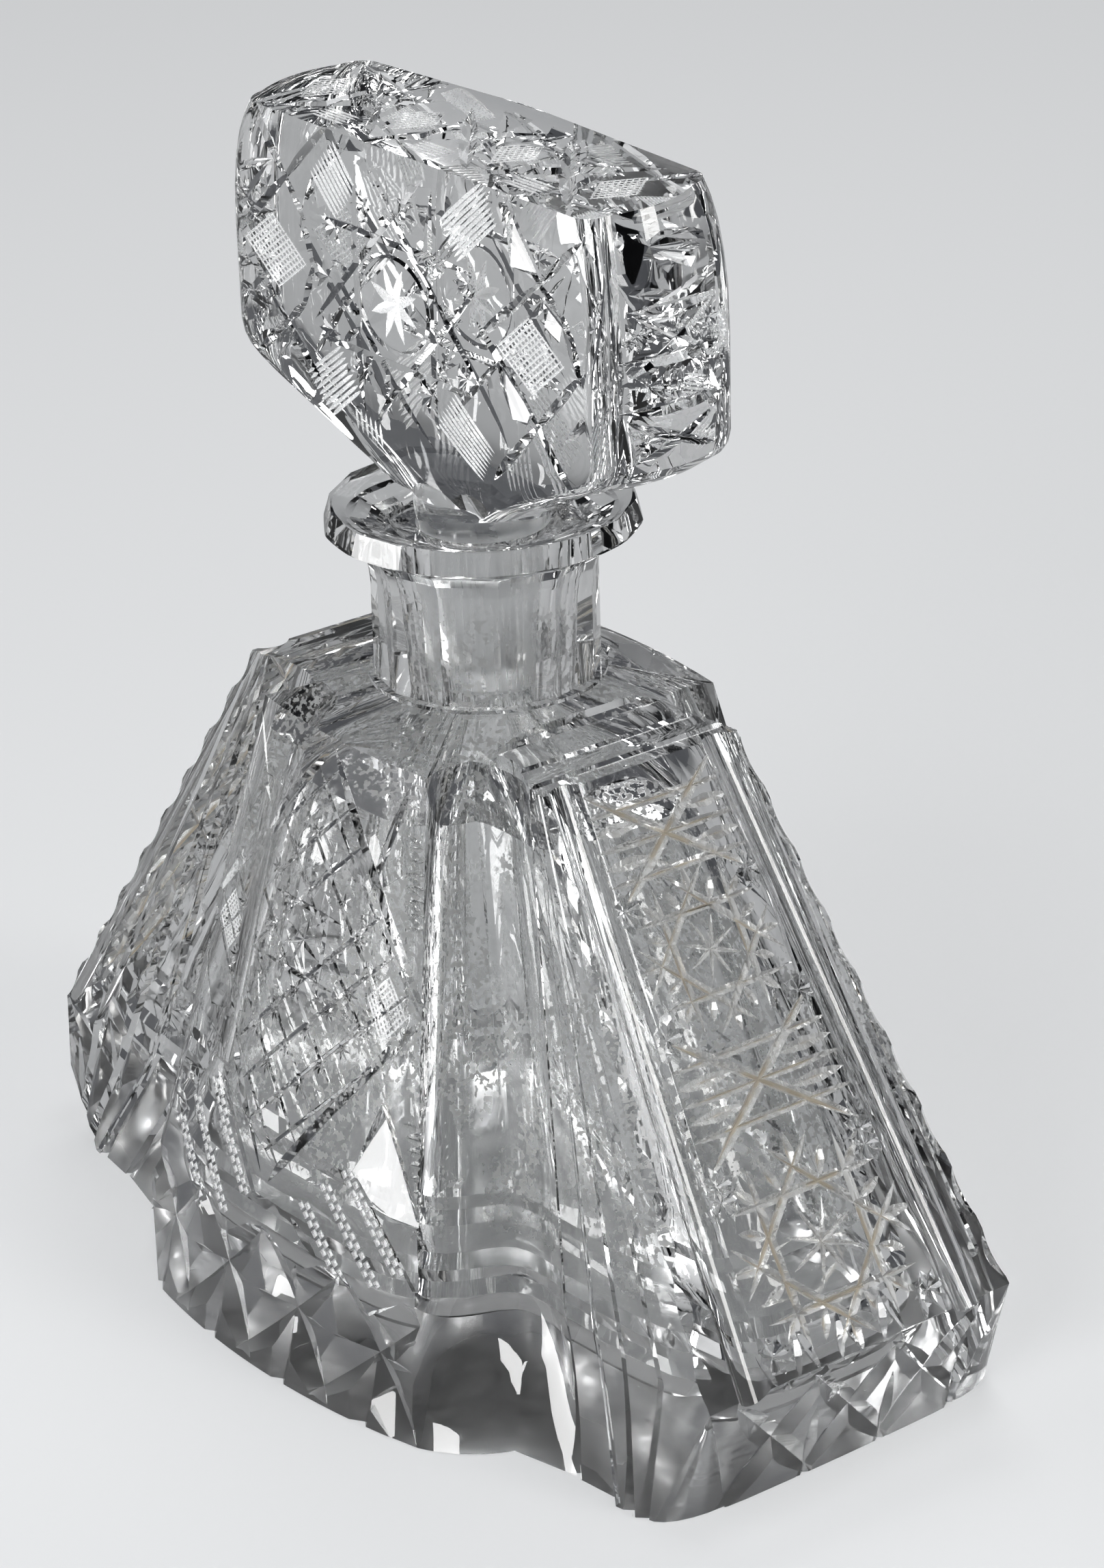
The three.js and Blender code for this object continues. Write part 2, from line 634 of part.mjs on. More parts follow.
// The head's end: level cuts from edge to edge, bent with the end's bow
function headEndCuts() {
  const bow = (u) => headEndBow * 0.7 * min(1, max(0, (0.83 - (2 * abs(u)) / headDepth) / 0.41));
  const face = {
    point: (u, v) => at(headSize(headBottom + v, 1) + bow(u), u, headBottom + v),
    normal: () => at(1, 0, 0),
  };
  const { levels, half, overlap, depth } = endCuts;
  return levels.flatMap((v) => [-1, 1].map((s) => grooveOn(face, [-s * overlap, v], [s * half, v], depth)));
}

// The head's top: crossed cuts from edge to edge
function headTopCuts() {
  const slope = at(0, headTopDepth, headTopRise).normalize();
  const face = flatFace(at(0, 0, headTop + headTopRise / 2), at(1, 0, 0), slope);
  const { at: middles, half, reach, depth } = topCrosses;
  return middles.flatMap((x) => {
    return [-reach, reach].map((y) => grooveOn(face, [x - half, -y], [x + half, y], depth));
  });
}

function makeStopper() {
  const cutters = [...headSideCuts(), ...headEndCuts()].flatMap(twoWays);
  return carve(headBlank().add(plugBlank()), [...cutters, ...headTopCuts()]);
}

function mesh(name, made, material) {
  const data = made.getMesh();
  const geometry = new THREE.BufferGeometry();
  geometry.setAttribute("position", new THREE.Float32BufferAttribute(data.vertProperties, 3));
  geometry.setIndex(new THREE.Uint32BufferAttribute(data.triVerts, 1));
  const result = new THREE.Mesh(geometry, material);
  result.name = name;
  return result;
}

const glass = { roughness: 0.05, metalness: 0, transparent: true, flatShading: true };
const bodyGlass = new THREE.MeshStandardMaterial({ ...glass, color: 0xdfe6e8, opacity: 0.4 });
const stopperGlass = new THREE.MeshStandardMaterial({ ...glass, color: 0xe8eef2, opacity: 0.45 });

const decanter = new THREE.Group();
decanter.add(mesh("decanter_body", makeBody(), bodyGlass));
decanter.add(mesh("stopper", makeStopper(), stopperGlass));
export default decanter;
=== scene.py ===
# %% [markdown]
# A cut glass decanter in two pieces: a body with two broad lobes, and a slab stopper that lifts out.
# Each piece starts as a plain blank of glass. Then wheels cut it, as in the workshop: every flute,
# star, fan and field of fine lines is taken out of the blank by a cutter of its own, so that light
# breaks on real facets. All shaping is done in millimetres, and each finished mesh is scaled to metres.

# %% The fixed frame
import bpy
import bmesh
from math import atan2, cos, hypot, pi, radians, sin, sqrt
from mathutils import Matrix, Vector


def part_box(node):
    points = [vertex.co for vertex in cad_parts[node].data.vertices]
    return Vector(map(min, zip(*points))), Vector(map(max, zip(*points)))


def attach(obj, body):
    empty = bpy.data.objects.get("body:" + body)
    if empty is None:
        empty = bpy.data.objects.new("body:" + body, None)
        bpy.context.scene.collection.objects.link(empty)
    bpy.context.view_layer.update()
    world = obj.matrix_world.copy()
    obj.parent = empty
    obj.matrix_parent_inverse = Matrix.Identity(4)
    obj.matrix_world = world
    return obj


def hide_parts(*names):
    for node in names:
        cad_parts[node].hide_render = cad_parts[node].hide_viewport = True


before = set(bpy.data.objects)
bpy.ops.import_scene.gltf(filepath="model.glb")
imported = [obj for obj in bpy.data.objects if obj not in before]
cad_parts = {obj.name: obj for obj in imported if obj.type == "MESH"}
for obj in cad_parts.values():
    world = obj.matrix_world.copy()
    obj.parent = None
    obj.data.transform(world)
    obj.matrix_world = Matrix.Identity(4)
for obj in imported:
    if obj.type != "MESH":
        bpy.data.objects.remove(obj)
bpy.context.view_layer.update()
MM = 0.001
body_low, body_high = (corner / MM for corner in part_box("decanter_body"))
stopper_low, stopper_high = (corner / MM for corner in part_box("stopper"))
print("body", [round(c, 1) for c in body_high - body_low], "mm")
print("stopper", [round(c, 1) for c in stopper_high - stopper_low], "mm")

# %% [markdown]
# The camera stands where the photograph was taken: a little to the front right of the decanter and
# above it, with a long lens. The position is given by its turn round the decanter, its height as an
# angle and its distance, because those three are easy to compare with the picture.

# %% Camera
IMAGE_HEIGHT = 2296          # pixels of the photograph
FOCAL_PIXELS = 7000
SENSOR = 36.0
camera_turn, camera_rise, camera_roll = radians(53.8), radians(24.15), radians(1.78)
camera_distance = 902.7 * MM
looked_at = Vector((0, 0, 100 * MM))
aim_aside = 11.2 * MM        # how far right of the decanter's axis the middle of the picture lies

heading = Vector((-sin(camera_turn) * cos(camera_rise), cos(camera_turn) * cos(camera_rise),
                  -sin(camera_rise)))
right = Vector((cos(camera_turn), sin(camera_turn), 0))
place = looked_at - heading * camera_distance
heading = (looked_at + right * aim_aside - place).normalized()
right = heading.cross(Vector((0, 0, 1))).normalized()
turned = Matrix.Rotation(camera_roll, 3, heading)
right, up = turned @ right, turned @ right.cross(heading)

lens = bpy.data.cameras.new("camera")
lens.sensor_width = SENSOR
lens.lens = FOCAL_PIXELS * SENSOR / IMAGE_HEIGHT
lens.clip_start = 0.05
camera = bpy.data.objects.new("camera", lens)
camera.matrix_world = Matrix.Translation(place) @ Matrix((right, up, -heading)).transposed().to_4x4()
bpy.context.scene.collection.objects.link(camera)
bpy.context.scene.camera = camera
bpy.context.scene.view_settings.view_transform = "Standard"
print("lens", round(lens.lens, 1), "mm, camera at", [round(c, 3) for c in place])

# %% [markdown]
# Glass shows nothing of its own, only what stands round it. A pale floor gives it a light ground, and
# a dark room with a few wide soft windows gives the dark and bright facets that make cut glass sparkle.
# Real glass lets light through to the floor under it. The renderer doesn't follow that light, so rays
# that have passed through the glass see part of the floor as if it were evenly lit. The camera sees it
# a little evener too, and the decanter's soft shadow stays on it.

# %% Floor, room and lamps
def node_material(name):
    material = bpy.data.materials.new(name)
    material.use_nodes = True
    return material, material.node_tree, material.node_tree.nodes["Principled BSDF"]


def joined(tree, source, target):
    tree.links.new(source, target)


def ranged(tree, value, low, high, to_low=0.0, to_high=1.0):
    """The value as a number that goes from to_low to to_high while it goes from low to high."""
    out = tree.nodes.new("ShaderNodeMapRange")
    for name, number in zip(("From Min", "From Max", "To Min", "To Max"), (low, high, to_low, to_high)):
        out.inputs[name].default_value = number
    joined(tree, value, out.inputs["Value"])
    return out.outputs["Result"]


def worked_out(tree, operation, *terms):
    """The result of a sum or the like, on numbers and on the outputs of other nodes."""
    out = tree.nodes.new("ShaderNodeMath")
    out.operation = operation
    for term, target in zip(terms, out.inputs):
        if isinstance(term, float):
            target.default_value = term
        else:
            joined(tree, term, target)
    return out.outputs["Value"]


FLOOR_COLOUR, FLOOR_HALF, FLOOR_DROP = (0.74, 0.75, 0.76, 1), 4.0, 0.3 * MM
THROUGH_GLASS, EVEN_SHARE = 0.28, 0.55       # the even floor as glass shows it, and its share there
IN_VIEW, VIEW_SHARE = 1.0, 0.55              # and as the camera sees it
floor_material, tree, shader = node_material("pale_floor")
shader.inputs["Base Color"].default_value = FLOOR_COLOUR
shader.inputs["Roughness"].default_value = 0.55
even = tree.nodes.new("ShaderNodeEmission")
even.inputs["Color"].default_value = FLOOR_COLOUR
ray = tree.nodes.new("ShaderNodeLightPath")
in_view = ray.outputs["Is Camera Ray"]
in_glass = worked_out(tree, "MAXIMUM", ray.outputs["Is Transmission Ray"], ray.outputs["Is Glossy Ray"])
joined(tree, ranged(tree, in_view, 0, 1, THROUGH_GLASS, IN_VIEW), even.inputs["Strength"])
glass_share = worked_out(tree, "MULTIPLY", in_glass, EVEN_SHARE)
share = worked_out(tree, "MULTIPLY_ADD", in_view, VIEW_SHARE, glass_share)
seen = tree.nodes.new("ShaderNodeMixShader")
joined(tree, share, seen.inputs["Fac"])
joined(tree, shader.outputs["BSDF"], seen.inputs[1])
joined(tree, even.outputs["Emission"], seen.inputs[2])
joined(tree, seen.outputs["Shader"], tree.nodes["Material Output"].inputs["Surface"])
bm = bmesh.new()
bmesh.ops.create_grid(bm, x_segments=8, y_segments=8, size=FLOOR_HALF)
bmesh.ops.translate(bm, verts=bm.verts, vec=(0, 0, -FLOOR_DROP))
floor_mesh = bpy.data.meshes.new("floor")
bm.to_mesh(floor_mesh)
bm.free()
floor_mesh.materials.append(floor_material)
floor = bpy.data.objects.new("floor", floor_mesh)
bpy.context.scene.collection.objects.link(floor)

ROOM_COLOUR = (0.07, 0.073, 0.08, 1)
room = bpy.data.worlds.new("room")
room.use_nodes = True
room.node_tree.nodes["Background"].inputs["Color"].default_value = ROOM_COLOUR
bpy.context.scene.world = room


def lamp(name, azimuth, elevation, distance, size, power, colour=(1, 1, 1)):
    """A square soft lamp that faces the decanter, at a turn round it and a height, both in degrees."""
    light = bpy.data.lights.new(name, "AREA")
    light.shape = "RECTANGLE"
    light.size, light.size_y = size
    light.energy = power
    light.color = colour
    turn, rise = radians(azimuth), radians(elevation)
    spot = Vector((cos(turn) * cos(rise), sin(turn) * cos(rise), sin(rise))) * distance
    holder = bpy.data.objects.new(name, light)
    holder.location = looked_at + spot
    holder.rotation_euler = (-spot).to_track_quat("-Z", "Y").to_euler()
    bpy.context.scene.collection.objects.link(holder)
    return holder


lamp("window_front", 292, 26, 1.4, (0.75, 0.42), 15)
lamp("window_left", 243, 4.5, 1.4, (1.0, 0.38), 16)
lamp("window_right", 18, 33, 1.4, (0.35, 0.65), 8, (1, 0.99, 0.97))
lamp("window_behind", 140, 52, 1.5, (0.8, 0.35), 6)
lamp("ceiling", 70, 80, 1.4, (0.5, 0.5), 5, (0.97, 0.98, 1))

# %% [markdown]
# Six finishes are one glass. Polished glass is clear and almost mirror smooth. The inner wall is a
# little dull, with specks of lime from old drink. Fine lines are left matt from the stone, the plug
# keeps upright streaks of its grinding, and the foot is worn a little dull from standing. The long cuts
# of the end panels hold a beige dust. Each is a Principled shader with most of its weight on
# transmission, and noise in object space changes its colour and roughness from place to place.

# %% Finishes of the glass
GLASS_IOR = 1.54             # of lead glass


def glass(name, colour, roughness, transmission=1.0):
    material, tree, shader = node_material(name)
    shader.inputs["Base Color"].default_value = (*colour, 1)
    shader.inputs["Roughness"].default_value = roughness
    shader.inputs["IOR"].default_value = GLASS_IOR
    shader.inputs["Transmission Weight"].default_value = transmission
    return material, tree, shader


def specks(tree, size, low, high, detail=3.0, stretch=(1, 1, 1)):
    """Noise on the object's own coordinates, cut to 0 to 1 between low and high. The size is in mm."""
    coordinates = tree.nodes.new("ShaderNodeTexCoord")
    squeeze = tree.nodes.new("ShaderNodeMapping")
    squeeze.inputs["Scale"].default_value = stretch
    grain = tree.nodes.new("ShaderNodeTexNoise")
    grain.inputs["Scale"].default_value = 1 / (size * MM)
    grain.inputs["Detail"].default_value = detail
    joined(tree, coordinates.outputs["Object"], squeeze.inputs["Vector"])
    joined(tree, squeeze.outputs["Vector"], grain.inputs["Vector"])
    return ranged(tree, grain.outputs["Fac"], low, high)


def reach(tree, way, low, high):
    """How far a point lies along a way, from 0 at low to 1 at high, in mm. It is alike on both sides."""
    coordinates = tree.nodes.new("ShaderNodeTexCoord")
    folded = tree.nodes.new("ShaderNodeVectorMath")
    folded.operation = "ABSOLUTE"
    along = tree.nodes.new("ShaderNodeVectorMath")
    along.operation = "DOT_PRODUCT"
    along.inputs[1].default_value = way
    joined(tree, coordinates.outputs["Object"], folded.inputs[0])
    joined(tree, folded.outputs["Vector"], along.inputs[0])
    return ranged(tree, along.outputs["Value"], low * MM, high * MM)


def blended(tree, share, first, second):
    """A colour that goes from the first to the second with the share."""
    out = tree.nodes.new("ShaderNodeMix")
    out.data_type = "RGBA"
    out.inputs["A"].default_value = (*first, 1)
    out.inputs["B"].default_value = (*second, 1)
    joined(tree, share, out.inputs["Factor"])
    return out.outputs["Result"]


polished, tree, shader = glass("polished_glass", (0.985, 0.99, 0.99), 0.012)
joined(tree, ranged(tree, specks(tree, 9, 0.4, 0.75), 0, 1, 0.006, 0.035), shader.inputs["Roughness"])

inner_wall, tree, shader = glass("inner_wall", (0.97, 0.975, 0.975), 0.06)
LIME_FROM, LIME_ALL = 26, 42 # levels between which the specks of lime set in
lime = worked_out(tree, "MULTIPLY", specks(tree, 1.3, 0.5, 0.57, 6.0),
                  specks(tree, 16, 0.4, 0.55, 2.0, (1, 1, 0.45)))
lime = worked_out(tree, "MULTIPLY", lime, reach(tree, (0, 0, 1), LIME_FROM, LIME_ALL))
joined(tree, blended(tree, lime, (0.95, 0.955, 0.955), (0.62, 0.62, 0.6)), shader.inputs["Base Color"])
joined(tree, ranged(tree, lime, 0, 1, 0.03, 0.6), shader.inputs["Roughness"])

matt, tree, shader = glass("matt_cut", (0.97, 0.975, 0.98), 0.35, 0.6)
joined(tree, ranged(tree, specks(tree, 0.5, 0.35, 0.65), 0, 1, 0.22, 0.42), shader.inputs["Roughness"])

ground, tree, shader = glass("ground_plug", (0.97, 0.975, 0.975), 0.3, 0.95)
streaks = specks(tree, 1.1, 0.35, 0.65, 3.0, (1, 1, 0.06))
joined(tree, blended(tree, streaks, (0.985, 0.985, 0.985), (0.88, 0.885, 0.89)), shader.inputs["Base Color"])
joined(tree, ranged(tree, streaks, 0, 1, 0.18, 0.42), shader.inputs["Roughness"])

worn, tree, shader = glass("worn_foot", (0.96, 0.96, 0.955), 0.2, 0.96)
joined(tree, ranged(tree, specks(tree, 5, 0.2, 0.8, 6.0), 0, 1, 0.06, 0.3), shader.inputs["Roughness"])

PANEL_OUT, PANEL_DISTANCE, DUST_DEPTHS = (0.842, 0, 0.539), 103.0, (0.5, 1.0)
dusty, tree, shader = glass("dusty_cut", (0.93, 0.92, 0.89), 0.2, 0.78)
buried = reach(tree, PANEL_OUT, *(PANEL_DISTANCE - depth for depth in DUST_DEPTHS))
dust = worked_out(tree, "MULTIPLY", buried, specks(tree, 7, 0.4, 0.56, 5.0))
joined(tree, blended(tree, dust, (0.9, 0.9, 0.88), (0.74, 0.63, 0.46)), shader.inputs["Base Color"])
joined(tree, ranged(tree, dust, 0, 1, 0.02, 0.55), shader.inputs["Roughness"])

FINISHES = [polished, inner_wall, matt, dusty, ground, worn]
POLISHED, INNER, MATT, DUSTY, GROUND, WORN = range(len(FINISHES))
print("finishes", [m.name for m in FINISHES])

# %% [markdown]
# All shapes are made as meshes in millimetres. A loft starts as a circle whose points are moved to
# the first outline, and is then extruded level by level, each time with its points moved to the
# next outline. It suits a blank whose outline keeps its number of points but changes its shape.

# %% Meshes and lofts
def make_object(name, bm, finish=None, smooth=None):
    """Turns a bmesh into an object that has every finish, with its faces set to one of them."""
    for face in bm.faces:
        if finish is not None:
            face.material_index = finish
        if smooth is not None:
            face.smooth = smooth
    mesh = bpy.data.meshes.new(name)
    bm.to_mesh(mesh)
    bm.free()
    for material in FINISHES:
        mesh.materials.append(material)
    made = bpy.data.objects.new(name, mesh)
    bpy.context.scene.collection.objects.link(made)
    return made


def loft(name, outlines, finish=POLISHED):
    """A closed skin over outlines of as many points each."""
    bm = bmesh.new()
    first = bmesh.ops.create_circle(bm, cap_ends=True, segments=len(outlines[0]), radius=1)["verts"]
    cap = first[0].link_faces[0]
    for vertex, point in zip(cap.verts, outlines[0]):
        vertex.co = point
    for outline in outlines[1:]:
        cap = bmesh.ops.extrude_discrete_faces(bm, faces=[cap])["faces"][0]
        for vertex, point in zip(cap.verts, outline):
            vertex.co = point
    bmesh.ops.holes_fill(bm, edges=[e for e in bm.edges if e.is_boundary])
    bmesh.ops.recalc_face_normals(bm, faces=bm.faces)
    return make_object(name, bm, finish, True)


def turned_blank(name, profile, segments, finish=POLISHED):
    """A solid turned round the Z axis from a profile of radius and level."""
    bm = bmesh.new()
    points = [bm.verts.new((r, 0, z)) for r, z in profile]
    edges = [bm.edges.new(pair) for pair in zip(points, points[1:])]
    bmesh.ops.spin(bm, geom=points + edges, axis=(0, 0, 1), cent=(0, 0, 0), angle=2 * pi,
                   steps=segments, use_merge=True)
    bmesh.ops.remove_doubles(bm, verts=bm.verts, dist=1e-4)
    bmesh.ops.recalc_face_normals(bm, faces=bm.faces)
    return make_object(name, bm, finish, True)


def mix(a, b, t):
    return a + (b - a) * t


def arc(a, b, sag, count):
    """Points of a hollow arc from a to b, without the first, sunk by the sag to the left of its way."""
    ax, ay, bx, by = *a, *b
    length = hypot(bx - ax, by - ay)
    across = Vector((ay - by, bx - ax)) / length
    return [Vector((mix(ax, bx, t), mix(ay, by, t))) + across * (4 * sag * t * (1 - t))
            for t in ((k + 1) / count for k in range(count))]


# %% [markdown]
# The boolean takes all cutters of one step together, from a collection, and joins them where they
# cross. It keeps each cutter's finish on the faces that the cutter leaves, so that a matt wheel
# leaves matt lines. The Manifold solver is exact enough here, and quick with thousands of cutters.

# %% Cutting
def boolean(target, tools, operation):
    """Cuts the tools out of the target, or joins them to it, and deletes them."""
    bench = bpy.data.collections.new("bench")
    bpy.context.scene.collection.children.link(bench)
    for tool in tools:
        bpy.context.scene.collection.objects.unlink(tool)
        bench.objects.link(tool)
    step = target.modifiers.new("cut", "BOOLEAN")
    step.solver = "MANIFOLD"
    step.operation = operation
    step.operand_type = "COLLECTION"
    step.collection = bench
    context = bpy.context.evaluated_depsgraph_get()
    result = bpy.data.meshes.new_from_object(target.evaluated_get(context), depsgraph=context)
    target.modifiers.clear()
    target.data = result
    for tool in tools:
        bpy.data.meshes.remove(tool.data)
    bpy.data.collections.remove(bench)
    print(f"{operation.lower()} {len(tools)} tools: {target.name} has {len(result.polygons)} faces")


def wedge(points, finish=POLISHED):
    """A convex cutter round a few points."""
    bm = bmesh.new()
    for point in points:
        bm.verts.new(point)
    hull = bmesh.ops.convex_hull(bm, input=bm.verts)
    inner = list({v for v in hull["geom_interior"] if isinstance(v, bmesh.types.BMVert)})
    bmesh.ops.delete(bm, geom=inner, context="VERTS")
    bmesh.ops.recalc_face_normals(bm, faces=bm.faces)
    return make_object("wedge", bm, finish, False)


def chained(rows, finish=POLISHED):
    """Cutters from each row of points to the next."""
    return [wedge(first + second, finish) for first, second in zip(rows, rows[1:])]


# %% [markdown]
# The body is a long block with sloping ends, crossed by two broad lobes, one at the front and one at
# the back. One outline serves for every level: it goes round a lobe, down the flute in the valley and
# along the fan of long prisms to the block's corner. Only a quarter is worked out, the rest mirrors it.
# The driving sizes are in millimetres, at the base and at the shoulder, and the overall ones come
# from the fixed frame.

# %% Sizes of the body
BASE_LENGTH, BAND_LENGTH, SHOULDER_LENGTH = 198, body_high.x * 2, 91
BAND, SHOULDER, SHOULDER_RISE = 25.5, 120, 4.5
WALL_DEPTH, SHOULDER_DEPTH = 78, 45
LOBE_DEPTH, LOBE_TOP_DEPTH = body_high.y * 2, 70.5
LOBE_WIDTH, LOBE_TOP_WIDTH = 93, 51
LOBE_BOW, LOBE_TOP_BOW = 6, 2
FLUTE_SAG, FLUTE_FOOT, CORNER_SWELL = 2.6, 17, 1.9
VALLEY_WIDTH, VALLEY_TOP_WIDTH, VALLEY_FLARE = 113, 49.5, 3.5
FOOT_FLARE, FOOT_TURN = 5.4, 4.2
CORNER_LENGTH, CORNER_DEPTH, END_BOW = 5.5, 13, 1
FAN_TOP, FAN_TOP_PITCH = 41, 1.1
FAN_AT_BAND, FAN_FEET = (61.6, 72, 81, 92), (75, 86, 90.5, 93.5)
FAN_STEPS, FAN_GROOVE, SIDE_SAG = (0.4, 1.9, 0.4, 0.3), 0.5, 1.7
NECK_RADIUS, NECK_PANELS, LIP_HEIGHT, LIP_RADIUS, LIP_FACETS = 21, 12, 157.4, 30, 16
SEAT_RADIUS, SEAT_TAPER, SEAT_LENGTH, LIP_DISH = 12.5, 0.085, 32, 3.4


def under_band(z):
    return max(0, 1 - z / BAND)


def above_band(z):
    return max(0, (z - BAND) / (SHOULDER - BAND))


def side_y(z):
    return -mix(WALL_DEPTH, SHOULDER_DEPTH, z / SHOULDER) / 2 - FOOT_FLARE * under_band(z) ** 1.6


def front_y(z):
    return -mix(LOBE_DEPTH, LOBE_TOP_DEPTH, z / SHOULDER) / 2


def front_half(z):
    return mix(LOBE_WIDTH, LOBE_TOP_WIDTH, z / SHOULDER) / 2


def front_bow(z):
    return mix(LOBE_BOW, LOBE_TOP_BOW, z / SHOULDER)


def valley_x(z):
    return mix(VALLEY_WIDTH, VALLEY_TOP_WIDTH, z / SHOULDER) / 2 + VALLEY_FLARE * under_band(z) ** 1.6


def end_x(z):
    return mix(mix(BAND_LENGTH, BASE_LENGTH, under_band(z)), SHOULDER_LENGTH, above_band(z)) / 2


def wall_y(x, z):
    """The side wall, which draws in a little towards the corners at the base."""
    share = max(0, (x - valley_x(z)) / (end_x(z) - valley_x(z)))
    return side_y(z) + FOOT_TURN * under_band(z) ** 1.6 * share ** 2


print("shoulder", SHOULDER_LENGTH, "by", SHOULDER_DEPTH, "mm, slope of the ends",
      round((BAND_LENGTH - SHOULDER_LENGTH) / 2 / (SHOULDER - BAND), 2))

# %% Outline of the body at a level
def fan_lines(z):
    feet = [mix(low, foot, under_band(z)) for low, foot in zip(FAN_AT_BAND, FAN_FEET)]
    return [mix(x, FAN_TOP + k * FAN_TOP_PITCH, above_band(z)) for k, x in enumerate(feet)]


def quarter_outline(z):
    """From the middle of the front face, by the valley and the fan, to the middle of the end."""
    up, fluted, under = z / SHOULDER, min(1, z / FLUTE_FOOT), under_band(z)
    steps = 10
    points = [Vector((front_half(z) * k / steps, front_y(z) + front_bow(z) * (k / steps) ** 2))
              for k in range(steps + 1)]
    valley = Vector((valley_x(z), side_y(z)))
    points += arc(points[-1], valley, mix(-CORNER_SWELL, FLUTE_SAG * mix(1, 0.5, up), fluted), 14)
    lines, shrink = fan_lines(z), mix(1, 0.15, up)
    depth, groove_width = sum(FAN_STEPS) * shrink, FAN_GROOVE * mix(1, 0.3, up)
    points += arc(valley, Vector((lines[0], wall_y(lines[0], z) + depth)), SIDE_SAG * fluted, 14)
    for k, x in enumerate(lines):
        if k:
            points.append(Vector((x - groove_width, wall_y(x, z) + depth)))
        points.append(Vector((x, wall_y(x, z) + depth + groove_width * 0.6)))
        depth -= FAN_STEPS[k] * shrink
        points.append(Vector((x + groove_width, wall_y(x, z) + depth)))
    apart, turns = 0.02, 6
    for k in range(turns + 1):
        turn = k / turns * pi / 2
        back = CORNER_LENGTH * under * (1 - sin(turn)) + apart * (turns - k)
        inward = CORNER_DEPTH * under * (1 - cos(turn)) + apart * k
        points.append(Vector((end_x(z) - back, wall_y(end_x(z), z) + inward)))
    for share in (0.75, 0.5, 0.25, 0):
        bow = END_BOW * under * (1 - share ** 2)
        points.append(Vector((end_x(z) + bow, points[-1].y if share == 0.75 else side_y(z) * share)))
    return points


def body_outline(z):
    quarter = quarter_outline(z)
    half = quarter + [Vector((p.x, -p.y)) for p in quarter[-2::-1]]
    whole = half + [Vector((-p.x, p.y)) for p in half[-2:0:-1]]
    return [Vector((p.x, p.y, z)) for p in whole]


levels = [BAND * share for share in (0, 0.1, 0.2, 0.3, 0.42, 0.55, 0.68, 0.84, 1)]
levels += [mix(BAND, SHOULDER, share) for share in (0.2, 0.4, 0.6, 0.8, 1)]
outlines = [body_outline(z) for z in levels]
neck_foot = []
for p in outlines[-1]:
    turn, foot_radius = atan2(p.y, p.x), NECK_RADIUS + 1
    neck_foot.append(Vector((cos(turn) * foot_radius, sin(turn) * foot_radius, SHOULDER + SHOULDER_RISE)))
body = loft("cut_glass_body", outlines + [neck_foot])
for polygon in body.data.polygons:
    if polygon.normal.z < -0.9:
        polygon.material_index = WORN
print("body outline of", len(outlines[0]), "points at", len(levels), "levels")

# %% [markdown]
# A pattern is drawn on a face with two coordinates in millimetres, as on paper: u across and v up,
# seen from outside. A face knows its place in space and how far its surface swells at each point, so
# that a long cut follows a bowed lobe at one depth, as the wheel does.

# %% Faces to cut on
class Face:
    def __init__(self, origin, across, up, swell=None):
        across, up = Vector(across).normalized(), Vector(up).normalized()
        self.out = across.cross(up)
        self.place = Matrix.Translation(origin) @ Matrix((across, up, self.out)).transposed().to_4x4()
        self.swell = swell or (lambda u, v: 0.0)
        self.curved = swell is not None

    def spot(self, u, v, w=0.0, base=None):
        """The point w above the surface. The surface's height may be taken at another point, the base."""
        height = self.swell(*(base or (u, v)))
        return self.place @ Vector((u, v, height + w))

    def section(self, p, deep, aside):
        """The three corners of a V cut at p: its bottom, and its two edges over the surface."""
        edges = [self.spot(*(p + aside * side), OVERCUT, tuple(p)) for side in (-1, 1)]
        return [self.spot(*p, -deep), *edges]


def around(pairs, angle):
    return [Vector((cos(angle) * u - sin(angle) * v, sin(angle) * u + cos(angle) * v)) for u, v in pairs]


OVERCUT = 0.8                # how far each cutter stands out of the glass
WHEEL = 38                   # radius of the wheel for long cuts
FLANK = 1.1                  # half the width of a V cut over its depth


# %% The V cut, from which most patterns are made
def groove(face, a, b, depth, flank=FLANK, finish=POLISHED, wheel=WHEEL):
    """A V cut from a to b that runs in and out at its ends on the wheel's round rim."""
    a, b = Vector(a), Vector(b)
    length = (b - a).length
    along = (b - a) / length
    aside = Vector((-along.y, along.x))
    run = min(length / 2, sqrt(2 * wheel * depth))
    middle = length - 2 * run
    count = max(1, round(middle / 6)) if face.curved else 1
    stations = [0, run * 0.35, run] + [run + middle * k / count for k in range(1, count)]
    stations += [length - run] * (middle > 0.01) + [length - run * 0.35, length]
    rows = []
    for s in stations:
        share = min(s, length - s, run) / run
        deep = depth * (1 - (1 - share) ** 2)
        rows.append(face.section(a + along * s, deep, aside * (flank * (deep + OVERCUT))))
    if not face.curved:
        return [wedge([p for row in rows for p in row], finish)]
    return chained(rows, finish)


def facet(face, corners, finish=POLISHED):
    """A flat cut over a patch of the face: corners of u, v and the depth under the face at its middle."""
    middle = Vector((sum(c[0] for c in corners), sum(c[1] for c in corners))) / len(corners)
    x, y = middle
    lean = Vector((face.swell(x + 1, y) - face.swell(x - 1, y),
                   face.swell(x, y + 1) - face.swell(x, y - 1))) / 2
    points = []
    for u, v, deep in corners:
        away = Vector((u, v)) - middle
        points.append(face.place @ Vector((u, v, face.swell(x, y) + lean.dot(away) - deep)))
        points.append(face.spot(*(middle + away * 1.03), OVERCUT + face.curved, (u, v)))
    return [wedge(points, finish)]


